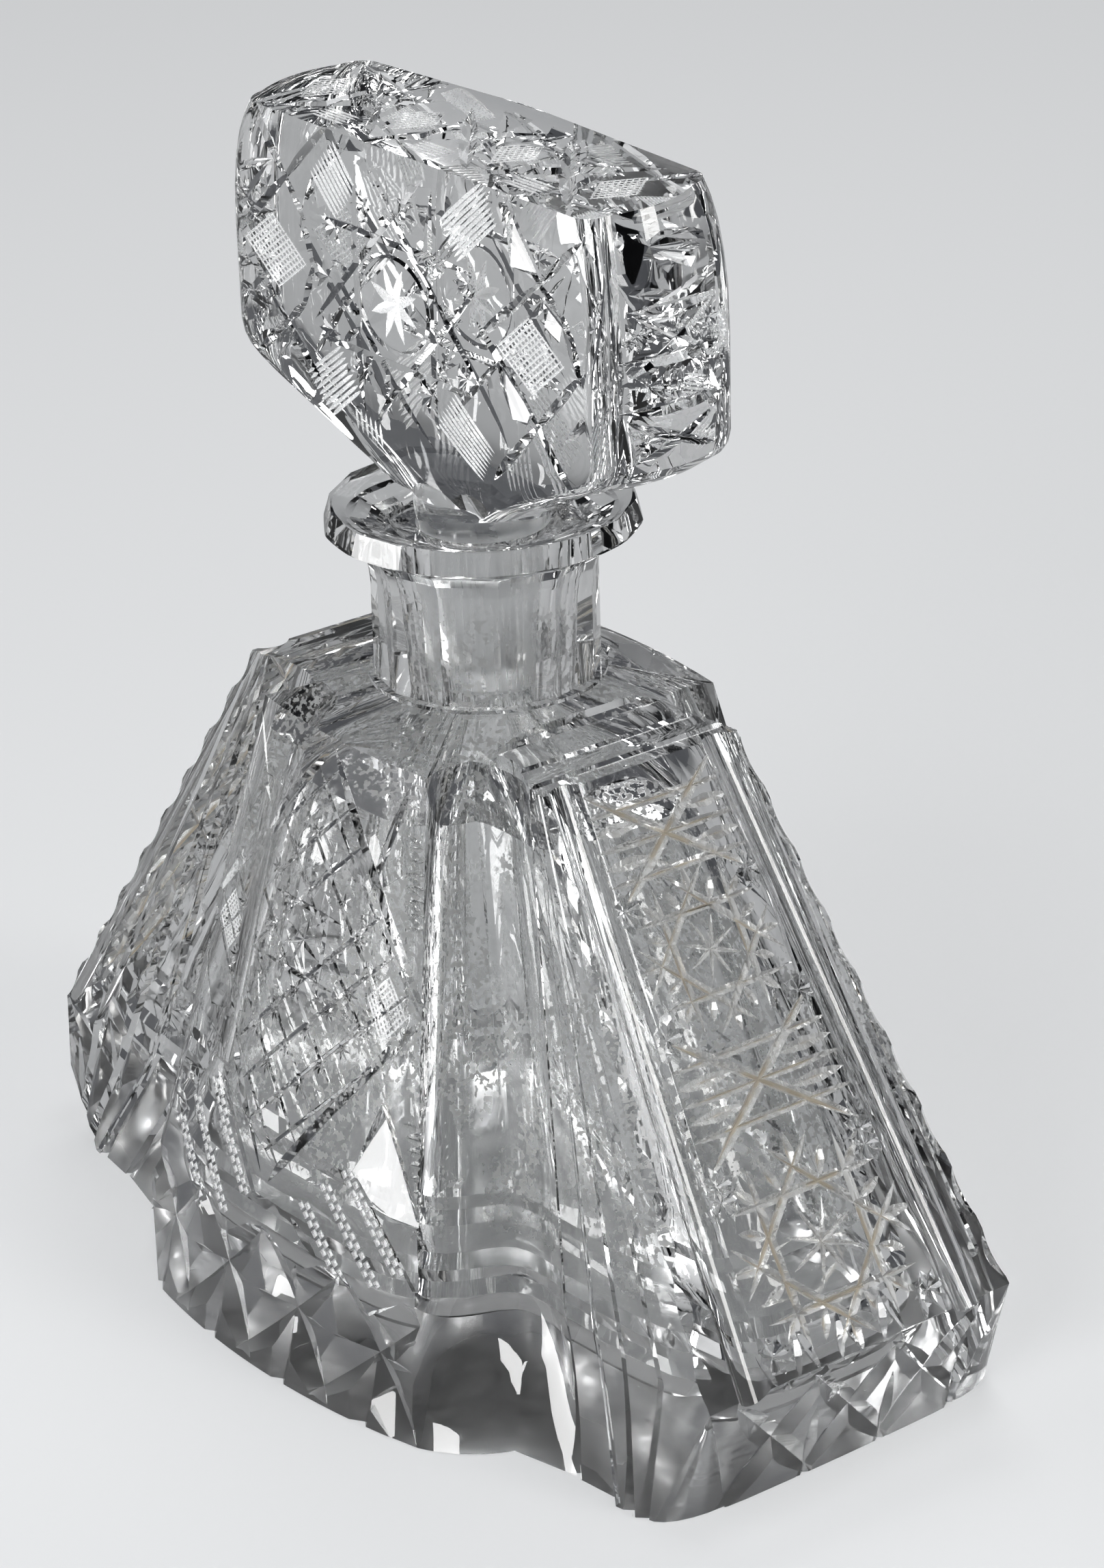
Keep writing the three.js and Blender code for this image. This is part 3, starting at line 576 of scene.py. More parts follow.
def tilted(outline, slope, turn):
    """The outline's corners with the depths of one flat cut, which slopes down towards the turn."""
    way = Vector((cos(radians(turn)), sin(radians(turn))))
    along = [Vector(p).dot(way) for p in outline]
    return [(*p, (a - min(along)) * slope) for p, a in zip(outline, along)]


def ring_groove(face, centre, radii, depth, flank=FLANK, count=32):
    """A V cut that runs round an oval at one depth."""
    rows = []
    for k in range(count + 1):
        x, y = cos(2 * pi * k / count), sin(2 * pi * k / count)
        p = Vector(centre) + Vector((radii[0] * x, radii[1] * y))
        away = Vector((radii[1] * x, radii[0] * y)).normalized()
        rows.append(face.section(p, depth, away * flank * (depth + OVERCUT)))
    return chained(rows)


# %% Stars and lattices
def star(face, centre, radius, rays=8, depth=0.8, turn=0.0, flank=FLANK):
    """Cuts through one point, each deepest there, that make a star of so many rays."""
    centre, cutters = Vector(centre), []
    for k in range(rays // 2):
        ray = around([(radius, 0)], turn + k * 2 * pi / rays)[0]
        cutters += groove(face, centre - ray, centre + ray, depth, flank, wheel=radius ** 2 / depth)
    return cutters


def hobstar(face, centre, distance, reach, depth, turn=0.0):
    """A clear eight-sided button with a star on it, framed by eight long cuts and a ring of points."""
    centre, cutters = Vector(centre), []
    for k in range(8):
        ends = around([(distance, -reach), (distance, reach)], turn + k * pi / 4)
        cutters += groove(face, centre + ends[0], centre + ends[1], depth, 0.75)
    cutters += star(face, centre, distance * 0.86, 8, depth * 0.6, turn + pi / 8, 0.9)
    for k in range(16):
        inner, outer = (1.16, 1.75) if k % 2 else (1.32, 2.05)
        ends = around([(distance * inner, 0), (distance * outer, 0)], turn + k * pi / 8)
        cutters += groove(face, centre + ends[0], centre + ends[1], depth * 0.8, 1.1, wheel=12)
    return cutters


# %% Fields of fine matt lines
def fine_lines(face, a, b, spread, count, depth=0.35, flank=0.9):
    """Matt lines side by side, all as long as the way from a to b, over the given spread."""
    a, b = Vector(a), Vector(b)
    along = (b - a).normalized()
    aside = Vector((-along.y, along.x))
    cutters = []
    for k in range(count):
        off = aside * spread * (k / (count - 1) - 0.5)
        cutters += groove(face, a + off, b + off, depth, flank, MATT, wheel=6)
    return cutters


def hatched(face, left, top, right, foot, count, depth=0.3):
    """A four-sided field crossed by fine lines that run alongside its edges."""
    corners = [Vector(p) for p in (left, top, right, foot)]
    cutters = []
    for k in range(count):
        t = (k + 0.5) / count
        for a, b, c, d in (corners, corners[1:] + corners[:1]):
            cutters += groove(face, a.lerp(b, t), d.lerp(c, t), depth, 0.8, MATT, wheel=6)
    return cutters


def ladder(face, a, b, rows=2, step=1.35, depth=0.4):
    """Small matt notches in rows, each row set half a step on, like rungs worn into the glass."""
    a, b = Vector(a), Vector(b)
    along = (b - a).normalized()
    aside = Vector((-along.y, along.x))
    cutters = []
    for row in range(rows):
        for k in range(int((b - a).length / (step * 1.5))):
            p = a + along * step * (1.5 * k + 0.75 * (row % 2)) + aside * step * (row - rows / 2 + 0.5) * 1.1
            outline = [p + along * s * step / 2 + aside * r * step * 0.45 for s in (-1, 1) for r in (-1, 1)]
            points = [face.spot(*q, w, tuple(p)) for q in outline for w in (-depth, OVERCUT)]
            cutters.append(wedge(points, MATT))
    return cutters


def sawtooth(face, a, b, width, count, depth):
    """Short V cuts that cross a line to and fro."""
    a, b = Vector(a), Vector(b)
    along = (b - a).normalized()
    aside = Vector((-along.y, along.x)) * width / 2
    cutters = []
    for k in range(count):
        low, high = a.lerp(b, k / count), a.lerp(b, (k + 1) / count)
        cutters += groove(face, low - aside, high + aside, depth, 1.0, wheel=9)
        cutters += groove(face, high + aside, high - aside, depth * 0.8, 0.9, wheel=9)
    return cutters


print("a groove is deepest", round(sqrt(2 * WHEEL * 1.0), 1), "mm from its end at 1 mm depth")

# %% [markdown]
# Two turns of the same pattern make both ends of the body alike, and both lobes. So every cutter for
# the right end and the front lobe is copied with half a turn round the vertical axis.

# %% Copies turned about the axis, mirrored copies, and finishes
def copied(cutter, matrix):
    copy = cutter.copy()
    copy.data = cutter.data.copy()
    copy.data.transform(matrix)
    bpy.context.scene.collection.objects.link(copy)
    return copy


def turned_copies(cutters, count=2, start=0.0):
    """The cutters, turned to the start, with their copies at equal turns round the vertical axis."""
    for cutter in cutters:
        cutter.data.transform(Matrix.Rotation(start, 4, "Z"))
    copies = list(cutters)
    for k in range(1, count):
        copies += [copied(cutter, Matrix.Rotation(2 * pi * k / count, 4, "Z")) for cutter in cutters]
    return copies


def mirrored(cutters, across="X"):
    """The cutters with their mirror images across the plane square to the axis."""
    sign = Matrix.Diagonal((-1, 1, 1, 1)) if across == "X" else Matrix.Diagonal((1, -1, 1, 1))
    images = [copied(cutter, sign) for cutter in cutters]
    for image in images:
        image.data.flip_normals()
    return cutters + images


def finish_all(cutters, finish):
    for cutter in cutters:
        for polygon in cutter.data.polygons:
            polygon.material_index = finish


# %% [markdown]
# The neck is turned round, with a wide pouring lip. Then twelve flat panels are ground down it, each
# running out under the lip in an arch, and sixteen short facets go round the lip's edge. Three steps
# cross the shoulder at each end of the block.

# %% Neck, lip and shoulder
neck_base, lip_under = SHOULDER + SHOULDER_RISE, LIP_HEIGHT - 3.2
mouth = LIP_HEIGHT - LIP_DISH
neck_profile = [(0, neck_base - 6)]
for start_radius, level, offsets in (     # offsets from a radius and a level, going up
        (NECK_RADIUS, neck_base, ((1.4, -6), (1.4, 0.6), (0.9, 3), (0.6, 6))),
        (NECK_RADIUS, lip_under, ((0.9, -9), (1.5, -6.5), (2.8, -4.4))),
        (LIP_RADIUS, lip_under, ((-4.5, -2.2), (-1.8, -0.6), (-0.4, 0), (0, 0.8))),
        (LIP_RADIUS, LIP_HEIGHT, ((0, 0), (-0.6, 0.7), (-1.4, 1.1), (-2.4, 1.05), (-7, -0.9))),
        (SEAT_RADIUS, mouth, ((6, 0.7), (3.4, 0)))):
    neck_profile += [(start_radius + r, level + z) for r, z in offsets]
neck = turned_blank("neck", neck_profile + [(0, mouth)], 96)
boolean(body, [neck], "UNION")


def neck_panel():
    flat, reach, arch = NECK_RADIUS - 0.4, NECK_RADIUS * 0.32, lip_under - 6
    rim = [(flat, neck_base + 0.6), (flat, arch - 4), (flat + 0.25, arch - 1.6), (flat + 0.9, arch + 0.6),
           (flat + 2.2, arch + 2.6), (flat + 4.5, arch + 4.4),
           (LIP_RADIUS + 2, arch + 5), (LIP_RADIUS + 2, neck_base + 0.6)]
    return wedge([(r, side * reach, z) for r, z in rim for side in (-1, 1)])


def lip_facet():
    flat = LIP_RADIUS * cos(pi / LIP_FACETS) + 0.1
    rim = [(flat, lip_under - 1), (flat, LIP_HEIGHT - 0.6), (flat - 1.6, LIP_HEIGHT + 1.2),
           (flat + 3, LIP_HEIGHT + 1.2), (flat + 3, lip_under - 1)]
    return wedge([(r, side * 8, z) for r, z in rim for side in (-1, 1)])


def shoulder_step(x, above):
    step_z, far = SHOULDER + above, SHOULDER_LENGTH
    rim = [(x, step_z), (x + 0.9, step_z - 0.9), (far, step_z - 0.9), (far, step_z + 9), (x, step_z + 9)]
    return wedge([(rim_x, side * SHOULDER_DEPTH, z) for rim_x, z in rim for side in (-1, 1)])


def corner_cut(heading, levels, distances, sideways):
    """A flat cut across a corner of the foot. It faces a heading in degrees, at a distance from the axis."""
    out = Vector((-cos(radians(heading)), -sin(radians(heading)), 0))
    along = Vector((-out.y, out.x, 0))
    far = max(distances) + 20
    return wedge([out * d + along * s + Vector((0, 0, z))
                  for z, near in zip(levels, distances) for d in (near, far) for s in sideways])


def fan_mitre(k, depth, flank=1.0):
    """A V cut down one line of the fan, from the shoulder to the foot."""
    rows = []
    for z in (122, 112, 95, 70, 45, BAND, 17, 9, -2):
        x, level = fan_lines(max(0, z))[k], max(0, z)
        y = wall_y(x, level) + sum(FAN_STEPS[k:]) * mix(1, 0.15, level / SHOULDER)
        deep = depth * mix(1, 0.3, level / SHOULDER)
        half = flank * (deep + OVERCUT)
        rows.append([Vector((x, y + deep, z)),
                     *(Vector((x + half * side, y - OVERCUT, z)) for side in (-1, 1))])
    return chained(rows)


cutters = turned_copies([neck_panel()], NECK_PANELS, pi / NECK_PANELS)
FAN_CUT_DEPTHS = (0.7, 0.6, 0.9, 1.0)
for k, depth in enumerate(FAN_CUT_DEPTHS):
    cutters += turned_copies(mirrored(fan_mitre(k, depth)))
cutters += turned_copies([lip_facet()], LIP_FACETS, pi / LIP_FACETS)
cutters += turned_copies([shoulder_step(*step) for step in ((26.5, 2.0), (35, 1.4), (41, 0.8))])
TRIMMED_CORNERS = [           # heading, levels, distances from the axis at them, reach sideways
    (54, (-1, 32), (89.2, 89.2), (-90, -30)), (54, (-1, 14), (83, 89.2), (-90, -30)),
    (58.3, (-1, 22), (69.3, 69.3), (-27, 25))]
cutters += [corner_cut(*corner) for corner in TRIMMED_CORNERS]

# %% [markdown]
# Each end of the body is a long sloping panel. A hollow flute runs down each side of it. Between them
# two big stars alternate with two crosses that have ribs to their sides, and a row of points closes
# the panel, over a foot with crossed V cuts. Dust has settled in the long cuts of the panel.

# %% End panels
slope = Vector(((SHOULDER_LENGTH - BAND_LENGTH) / 2, 0, SHOULDER - BAND))
panel_length = slope.length
end_panel = Face((BAND_LENGTH / 2, 0, BAND), (0, 1, 0), slope)


def cylinder(radius, length, segments, matrix):
    """A round cutter along its Z axis, put in its place by the matrix."""
    bm = bmesh.new()
    bmesh.ops.create_cone(bm, cap_ends=True, segments=segments, radius1=radius, radius2=radius, depth=length)
    bmesh.ops.transform(bm, matrix=matrix, verts=bm.verts)
    bmesh.ops.recalc_face_normals(bm, faces=bm.faces)
    return make_object("cylinder", bm, POLISHED, True)


def rod(face, a, b, radius, depth):
    """A round rod sunk to a depth along a line of the face, which leaves a hollow flute."""
    low, high = (face.spot(*p, radius - depth) for p in (a, b))
    turn = Vector((0, 0, 1)).rotation_difference((high - low).normalized()).to_matrix().to_4x4()
    stretch = Matrix.Diagonal((1, 1, (high - low).length, 1))
    return cylinder(radius, 1, 32, Matrix.Translation((low + high) / 2) @ turn @ stretch)


BIG_STAR, SMALL_STAR, LOW_CROSS, HIGH_CROSS = 20.5, 76.5, 51.5, 99
panel_cuts = hobstar(end_panel, (0, BIG_STAR), 10.2, 17.5, 1.25)
panel_cuts += hobstar(end_panel, (0, SMALL_STAR), 7.7, 14, 1.05)
for middle, half, rise in ((LOW_CROSS, 18, 13.5), (HIGH_CROSS, 15.5, 11.5)):
    for side in (-1, 1):
        panel_cuts += groove(end_panel, (-half, middle - side * rise), (half, middle + side * rise), 1.3, 0.8)
    for rib in (-6.5, 0, 6.5):
        panel_cuts += groove(end_panel, (-half - 1, middle + rib), (half + 1, middle + rib), 1.0, 0.8)
    for rib in (-3.2, 3.2):
        for side in (-1, 1):
            panel_cuts += groove(end_panel, (side * half, middle + rib), (side * 5, middle + rib), 0.8, 1.6)
finish_all(panel_cuts, DUSTY)
for k in range(-4, 5):
    panel_cuts += groove(end_panel, (k * 5, -0.5), (k * 5 + (2.5 if k % 2 else -2.5), 8.5), 1.0, wheel=16)
for side in (-1, 1):
    for v in (5, 33.5, 36.5, 64, 88):
        panel_cuts += star(end_panel, (side * mix(18.5, 13, v / panel_length), v), 4.0, 8, 1.0, 0.2, 1.4)
panel_cuts += groove(end_panel, (-25, -1.2), (25, -1.2), 0.8, 1.6)
foot_rise = Vector(((BAND_LENGTH - BASE_LENGTH) / 2, 0, BAND))
end_foot = Face((BASE_LENGTH / 2, 0, 0), (0, 1, 0), foot_rise,
                lambda u, v: END_BOW * max(0, 1 - v / foot_rise.length) * (1 - (u / 28) ** 2))
for k in (-1, 0, 1):
    for side in (-1, 1):
        panel_cuts += groove(end_foot, (k * 18 - side * 11, 0), (k * 18 + side * 11, 25), 1.2, 2.2)
    panel_cuts += groove(end_foot, (k * 18 + 9, -4), (k * 18 + 9, 17), 0.9, 1.6)
cutters += turned_copies(panel_cuts)
cutters += turned_copies(mirrored([rod(end_panel, (25.8, -8), (17, panel_length + 8), 5.2, 1.5)], "Y"))


def edge_scallops(count=9, radius=14, depth=1.0):
    """Shallow round cuts along the edge between a side wall and an end panel."""
    low, high = (Vector((end_x(z), side_y(z), z)) for z in (BAND, SHOULDER))
    along = (high - low).normalized()
    out = (end_panel.out + Vector((0, -0.5, 0.07))).normalized()
    across = along.cross(out).normalized()
    turn = Matrix((along, out, across)).transposed().to_4x4()
    middles = [low.lerp(high, (k + 0.5) / count) + out * (radius - depth) for k in range(count)]
    return [cylinder(radius, 8, 48, Matrix.Translation(middle) @ turn) for middle in middles]


cutters += turned_copies(mirrored(edge_scallops(), "Y"))
print("end panel", round(panel_length, 1), "mm long with", len(panel_cuts), "cutters")

# %% [markdown]
# A lobe carries the richest pattern. A kite of deep cuts frames a lattice with a star in its middle.
# Two fields of fine lines flank the star, and long leaves are cut flat beside the kite. Ladders of
# small notches fill the ground below, and crossed V cuts make a row of big points along the rim.

# %% The lobes' pattern: kite and lattice
lobe_slope = Vector((0, (LOBE_DEPTH - LOBE_TOP_DEPTH) / 2, SHOULDER))
lobe_length = lobe_slope.length


def lobe_swell(u, v):
    z = v * SHOULDER / lobe_length
    return -front_bow(z) * (u / front_half(z)) ** 2 * SHOULDER / lobe_length


lobe = Face((0, -LOBE_DEPTH / 2, 0), (1, 0, 0), lobe_slope, lobe_swell)


def clipped(point, way, corners):
    """The stretch of a line inside a convex outline that runs clockwise, or None."""
    start, end = -1e6, 1e6
    for a, b in zip(corners, corners[1:] + corners[:1]):
        edge = Vector(b) - Vector(a)
        inward = Vector((edge.y, -edge.x))
        slope_in, gap = inward.dot(way), inward.dot(Vector(a) - point)
        if abs(slope_in) < 1e-9:
            if gap > 0:
                return None
        elif slope_in > 0:
            start = max(start, gap / slope_in)
        else:
            end = min(end, gap / slope_in)
    return (point + way * start, point + way * end) if end - start > 4 else None


KITE = [(0, 122), (34, 81), (-2, 34), (-34, 81)]
KITE_STAR, STAR_DISTANCE, LATTICE_PITCH = Vector((-1, 84)), 6.6, 7.5
lobe_cuts = []
for a, b in zip(KITE, KITE[1:] + KITE[:1]):
    lobe_cuts += groove(lobe, a, b, 1.4, 0.75)
lobe_cuts.append(rod(lobe, (-18.5, 110), (-21.5, 52), 6.5, 1.0))
for side in (-1, 1):
    way = Vector((1, side)).normalized()
    aside = Vector((-way.y, way.x))
    for k in range(-4, 4):
        off = (k + 0.5) * LATTICE_PITCH + (STAR_DISTANCE - LATTICE_PITCH / 2) * (1 if k >= 0 else -1)
        stretch = clipped(KITE_STAR + aside * off, way, KITE)
        if stretch:
            lobe_cuts += groove(lobe, *stretch, 0.55, 0.8)
for k in (0, 2, 4, 6):
    ends = around([(STAR_DISTANCE, -11), (STAR_DISTANCE, 11)], k * pi / 4)
    lobe_cuts += groove(lobe, KITE_STAR + ends[0], KITE_STAR + ends[1], 0.6, 0.9)
lobe_cuts += star(lobe, KITE_STAR, STAR_DISTANCE * 0.9, 8, 0.6, pi / 8)
for i in range(-4, 5):
    for j in range(-4, 5):
        spot = KITE_STAR + Vector((i + j, i - j)) * LATTICE_PITCH * 0.7071
        inside = abs(spot.x) / 31 + abs(spot.y - 79) / 39 < 0.92
        if inside and (i, j) != (0, 0):
            lobe_cuts += star(lobe, spot, 2.4, 8, 0.35)
print("kite and lattice of", len(lobe_cuts), "cutters")

# %% The lobes' pattern: fields, leaves and ladders
lobe_cuts += hatched(lobe, (-31, 79), (-26, 86), (-21, 79), (-25.5, 73), 9)
lobe_cuts += hatched(lobe, (19, 80), (24, 86), (30, 79), (24.5, 72), 9)
LEAVES = [                    # outline, slope, and the turn that the flat cut slopes down towards
    ([(-35, 81), (-18, 63.5), (-29, 61), (-34, 69)], 0.16, 45),
    ([(-20, 50), (8, 36), (-4, 31)], 0.08, 225),
    ([(27, 61.5), (33, 53), (40, 42), (30, 41.5), (22.5, 47)], 0.15, 62)]
SMALL_LEAVES = [              # corners with their depths
    [(28, 42, 0.8), (42, 41, 0), (50, 31.5, 0), (41, 30, 0.8)],
    [(-26, 121, 0), (-20.5, 108, 0.9), (-25, 101, 0.5), (-29, 108, 0)],
    [(22, 121, 0), (27, 108, 0.1), (19, 101, 0.9), (17, 108, 0.6)],
    [(-36, 60, 0), (-24, 56, 0.9), (-27, 48, 0.6), (-36, 46, 0)]]
for corners in [tilted(*leaf) for leaf in LEAVES] + SMALL_LEAVES:
    lobe_cuts += facet(lobe, corners)
for a, b in (((-26, 121), (-16, 97)), ((22, 121), (16, 99)), ((-13, 108), (-30, 86)), ((26, 66), (30, 79)),
             ((8, 32), (17, 27)), ((-22, 50), (-16, 42)), ((-34, 81), (-37, 62)), ((34, 81), (39, 62))):
    lobe_cuts += groove(lobe, a, b, 0.9)
for a, b in (((-23, 48), (-6, 30)), ((-29, 42), (-12, 24)), ((-34, 36), (-17, 20)),
             ((21, 46), (39, 30)), ((16, 41.5), (34, 26)), ((11, 36), (29, 21))):
    lobe_cuts += ladder(lobe, a, b)
lobe_cuts += sawtooth(lobe, (24.5, 113), (28.5, 96), 4.5, 7, 0.7)
lobe_cuts += sawtooth(lobe, (35, 61), (42, 45), 5.5, 7, 0.8)
for x in (-34, -11.5, 11.5, 34):
    for side in (-1, 1):
        lobe_cuts += groove(lobe, (x - side * 14, 1), (x + side * 12, 27), 2.1, 2.3)
    lobe_cuts += groove(lobe, (x, -6), (x, 24), 1.7, 1.6)
    lobe_cuts += groove(lobe, (x - 10, 15), (x + 10, 15), 1.0)
    for side in (-1, 1):
        for tip in ((x + side * 11.5, 8), (x + side * 11, 22)):
            lobe_cuts += groove(lobe, (x, 15), tip, 0.9)
cutters += turned_copies(lobe_cuts)
print("lobe pattern of", len(lobe_cuts), "cutters")

# %% [markdown]
# The blank was blown, so its hollow is soft and smooth. It follows the outside a wall's thickness
# away, and narrows at the top into the round tapered seat that the stopper's plug is ground into. A
# faint waviness near the floor is left from the mould, and shows as rings through the wide flutes.

# %% Hollow
WALL, FLOOR_LEVEL, HOLLOW_SIDES = 8.5, 15, 128


def hollow_outline(z, inset, closeness):
    level = min(z, SHOULDER - WALL)
    across = (end_x(max(level, BAND)) - WALL * 1.25 - inset, -side_y(level) - WALL - inset)
    deep = (valley_x(level) - WALL - inset, -front_y(level) - WALL * 1.15 - inset)
    seat = SEAT_RADIUS - SEAT_TAPER * SEAT_LENGTH
    outline = []
    for k in range(HOLLOW_SIDES):
        turn = 2 * pi * k / HOLLOW_SIDES
        boxes = [(abs(cos(turn) / a) ** 5 + abs(sin(turn) / b) ** 5) ** (-1 / 5) for a, b in (across, deep)]
        r = mix((boxes[0] ** 8 + boxes[1] ** 8) ** (1 / 8), seat, closeness)
        outline.append(Vector((r * cos(turn), r * sin(turn), z)))
    return outline


def hollow_circle(z, r):
    return [Vector((r * cos(2 * pi * k / HOLLOW_SIDES), r * sin(2 * pi * k / HOLLOW_SIDES), z))
            for k in range(HOLLOW_SIDES)]


hollow_top = SHOULDER - WALL
RIPPLE, RIPPLE_RINGS, RIPPLE_PITCH, MOUTH_FLARE = 0.8, 12, 2.6, 4.6
rings = [(FLOOR_LEVEL + rise, inset, 0) for rise, inset in ((0, 9), (0.7, 5.6), (2.2, 3.2), (4.6, 1.4))]
for k in range(RIPPLE_RINGS):
    ripple = RIPPLE * sin(k * 2.4) * max(0, 1 - k / (RIPPLE_RINGS - 1))
    rings.append((FLOOR_LEVEL + 7 + RIPPLE_PITCH * k, 0.2 + ripple, 0))
rings += [(mix(FLOOR_LEVEL, hollow_top, share), 0.2, 0) for share in (0.45, 0.6, 0.75, 0.87)]
rings += [(hollow_top + rise, inset, closeness) for rise, inset, closeness in (
    (-6, 0.5, 0.04), (-2, 2, 0.25), (0.5, 3.2, 0.5), (3, 4, 0.75), (6, 4.5, 0.92))]
outlines = [hollow_outline(*ring) for ring in rings]
outlines += [hollow_circle(mouth - SEAT_LENGTH, SEAT_RADIUS - SEAT_TAPER * SEAT_LENGTH),
             hollow_circle(mouth, SEAT_RADIUS), hollow_circle(mouth + MOUTH_FLARE, SEAT_RADIUS + MOUTH_FLARE)]
cutters.append(loft("hollow", outlines, INNER))
print("hollow of", len(outlines), "rings from", FLOOR_LEVEL, "to", round(mouth + MOUTH_FLARE, 1), "mm")

# %% [markdown]
# The fine mesh stands for the fixed frame's plain body. Edges that bend by more than a few degrees
# stay crisp, and the rest are shaded smooth, so that flutes look ground and facets look cut.

# %% Finish the body
SHARP = radians(16)


def finished(piece, node, body_name):
    """Scales a piece to metres, shades it, and puts it in its CAD node's place."""
    piece.data.transform(Matrix.Scale(MM, 4))
    piece.data.set_sharp_from_angle(angle=SHARP)
    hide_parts(node)
    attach(piece, body_name)
    low, high = ([round(pick(v.co[i] for v in piece.data.vertices) / MM, 1) for i in range(3)]
                 for pick in (min, max))
    triangles = sum(len(p.vertices) - 2 for p in piece.data.polygons)
    print(piece.name, triangles, "triangles, from", low, "to", high)


boolean(body, cutters, "DIFFERENCE")
finished(body, "decanter_body", "decanter")

# %% [markdown]
# The stopper is a thick slab with bowed ends and softly rounded corners, drawn in underneath to a
# round waist. Its top was ground by eye: it rises a little towards the back, and arches there. The
# blank is a loft again, whose upper rings are tilted. The ground plug below is turned, and keeps the
# even matt streaks of the grinding that made it fit its seat.

# %% Stopper blank
HEAD_BOTTOM, HEAD_LENGTH, HEAD_DEPTH = 176, 113, stopper_high.y * 2
TOP_RISE, TOP_ARCH, TILT_FROM = 2.4, 1.6, 214.3      # of the top's back edge, and of its middle
HEAD_TOP = stopper_high.z - TOP_RISE - TOP_ARCH      # of the top's front edge
HEAD_END_BOW, HEAD_CORNER = stopper_high.x - HEAD_LENGTH / 2, 4.6
HEAD_LEVELS = [               # level, half length, half depth
    (160, 16.6, 10.2), (161.6, 19.4, 10.9), (163.4, 22.4, 11.6), (165.5, 26.6, 12.3), (168, 31.4, 13),
    (170.6, 37.2, 13.7), (173, 42.8, 14.3), (175, 47.6, 14.7), (177, 51.8, 15.0), (178.6, 54.2, 15.25),
    (180.5, 55.7, 15.4), (183, 56.4, 15.5), (201, 56.5, 15.5), (209, 56.3, 15.4), (215, 55.6, 15.15),
    (219.5, 54.6, 14.8), (223, 53.3, 14.3), (HEAD_TOP, 52, 13.65)]


def head_outline(z, length, depth):
    corner = min(HEAD_CORNER, depth * 0.4)
    bow = HEAD_END_BOW * min(1, length / 50) * 0.98
    quarter = [Vector(((length - corner) * k / 8, -depth)) for k in range(8)]
    quarter += [Vector((length - corner + corner * sin(turn), -depth + corner * (1 - cos(turn))))
                for turn in (k * pi / 16 for k in range(9))]
    ending = depth - corner
    for k in range(1, 6):
        y = -ending * (1 - k / 5)
        quarter.append(Vector((length + bow * (1 - (y / ending) ** 2), y)))
    half = quarter + [Vector((p.x, -p.y)) for p in quarter[-2::-1]]
    ring = half + [Vector((-q.x, q.y)) for q in half[-2:0:-1]]
    tilt = max(0, (z - TILT_FROM) / (HEAD_TOP - TILT_FROM))
    return [Vector((p.x, p.y, z + tilt * (TOP_RISE * (0.5 + p.y / (2 * depth)) + top_arch(p, length, depth))))
            for p in ring]


def top_arch(p, length, depth):
    return TOP_ARCH * max(0, p.y / depth) * max(0, 1 - abs(p.x) / length)


stopper = loft("cut_glass_stopper", [head_outline(*level) for level in HEAD_LEVELS])
PLUG_CLEARANCE, PLUG_LENGTH, WAIST = 0.3, 30, 12.8
plug_end = mouth - PLUG_LENGTH


def plug_radius(z):
    return SEAT_RADIUS - PLUG_CLEARANCE - SEAT_TAPER * (mouth - z)


plug = turned_blank("plug", [
    (0, plug_end), (plug_radius(plug_end) - 1.2, plug_end), (plug_radius(plug_end) - 0.4, plug_end + 0.4),
    (plug_radius(plug_end + 1.2), plug_end + 1.2), (plug_radius(mouth), mouth), (0, mouth)], 72, GROUND)
waist = turned_blank("waist", [
    (0, mouth - 1), (plug_radius(mouth - 1), mouth - 1), (plug_radius(mouth) + 0.2, mouth + 1.5),
    (plug_radius(mouth) + 0.5, mouth + 3), (WAIST, LIP_HEIGHT + 3.2), (WAIST * 0.93, LIP_HEIGHT + 5.6),
    (WAIST * 0.8, LIP_HEIGHT + 8), (0, LIP_HEIGHT + 8)], 72)
boolean(stopper, [plug, waist], "UNION")

# %% [markdown]
# The head is cut all over. On each broad side an oval button with an eight-rayed star sits in a wide
# lattice, with a crossed diamond of fine lines to its left and right, each in a frame of deep cuts,
# and four combs of fine lines lean towards the corners. The ends have level cuts with small stars.

# %% Stopper: broad sides
def head_half_depth(z):
    for (z0, _, d0), (z1, _, d1) in zip(HEAD_LEVELS, HEAD_LEVELS[1:]):
        if z <= z1:
            return mix(d0, d1, (z - z0) / (z1 - z0))
    return HEAD_LEVELS[-1][2]


side = Face((0, -HEAD_DEPTH / 2, HEAD_BOTTOM), (1, 0, 0), (0, 0, 1),
            lambda u, v: head_half_depth(HEAD_BOTTOM + v) - HEAD_DEPTH / 2)
side_cuts = []
STAR_AT, OVAL = Vector((-3.5, 22)), (10.5, 9.0)
side_cuts += star(side, STAR_AT, 7.5, 8, 1.1, pi / 8, 1.3)
finish_all(side_cuts, MATT)
side_cuts += ring_groove(side, STAR_AT, OVAL, 0.5, 1.0)
for k in range(8):
    ends = around([(11.5, -24), (11.5, 24)], k * pi / 4)
    side_cuts += groove(side, STAR_AT + ends[0], STAR_AT + ends[1], 1.0, 0.7)
for k in range(16):
    ends = around([(13.5, 0), (19.5 if k % 2 else 17, 0)], (k + 0.5) * pi / 8)
    side_cuts += groove(side, STAR_AT + ends[0], STAR_AT + ends[1], 1.0, 1.0, wheel=12)
side_cuts += hatched(side, (-51, 24), (-41, 31), (-30, 23), (-40, 16), 11)
side_cuts += hatched(side, (26.5, 22), (36.5, 30), (47, 23), (37, 15), 11)
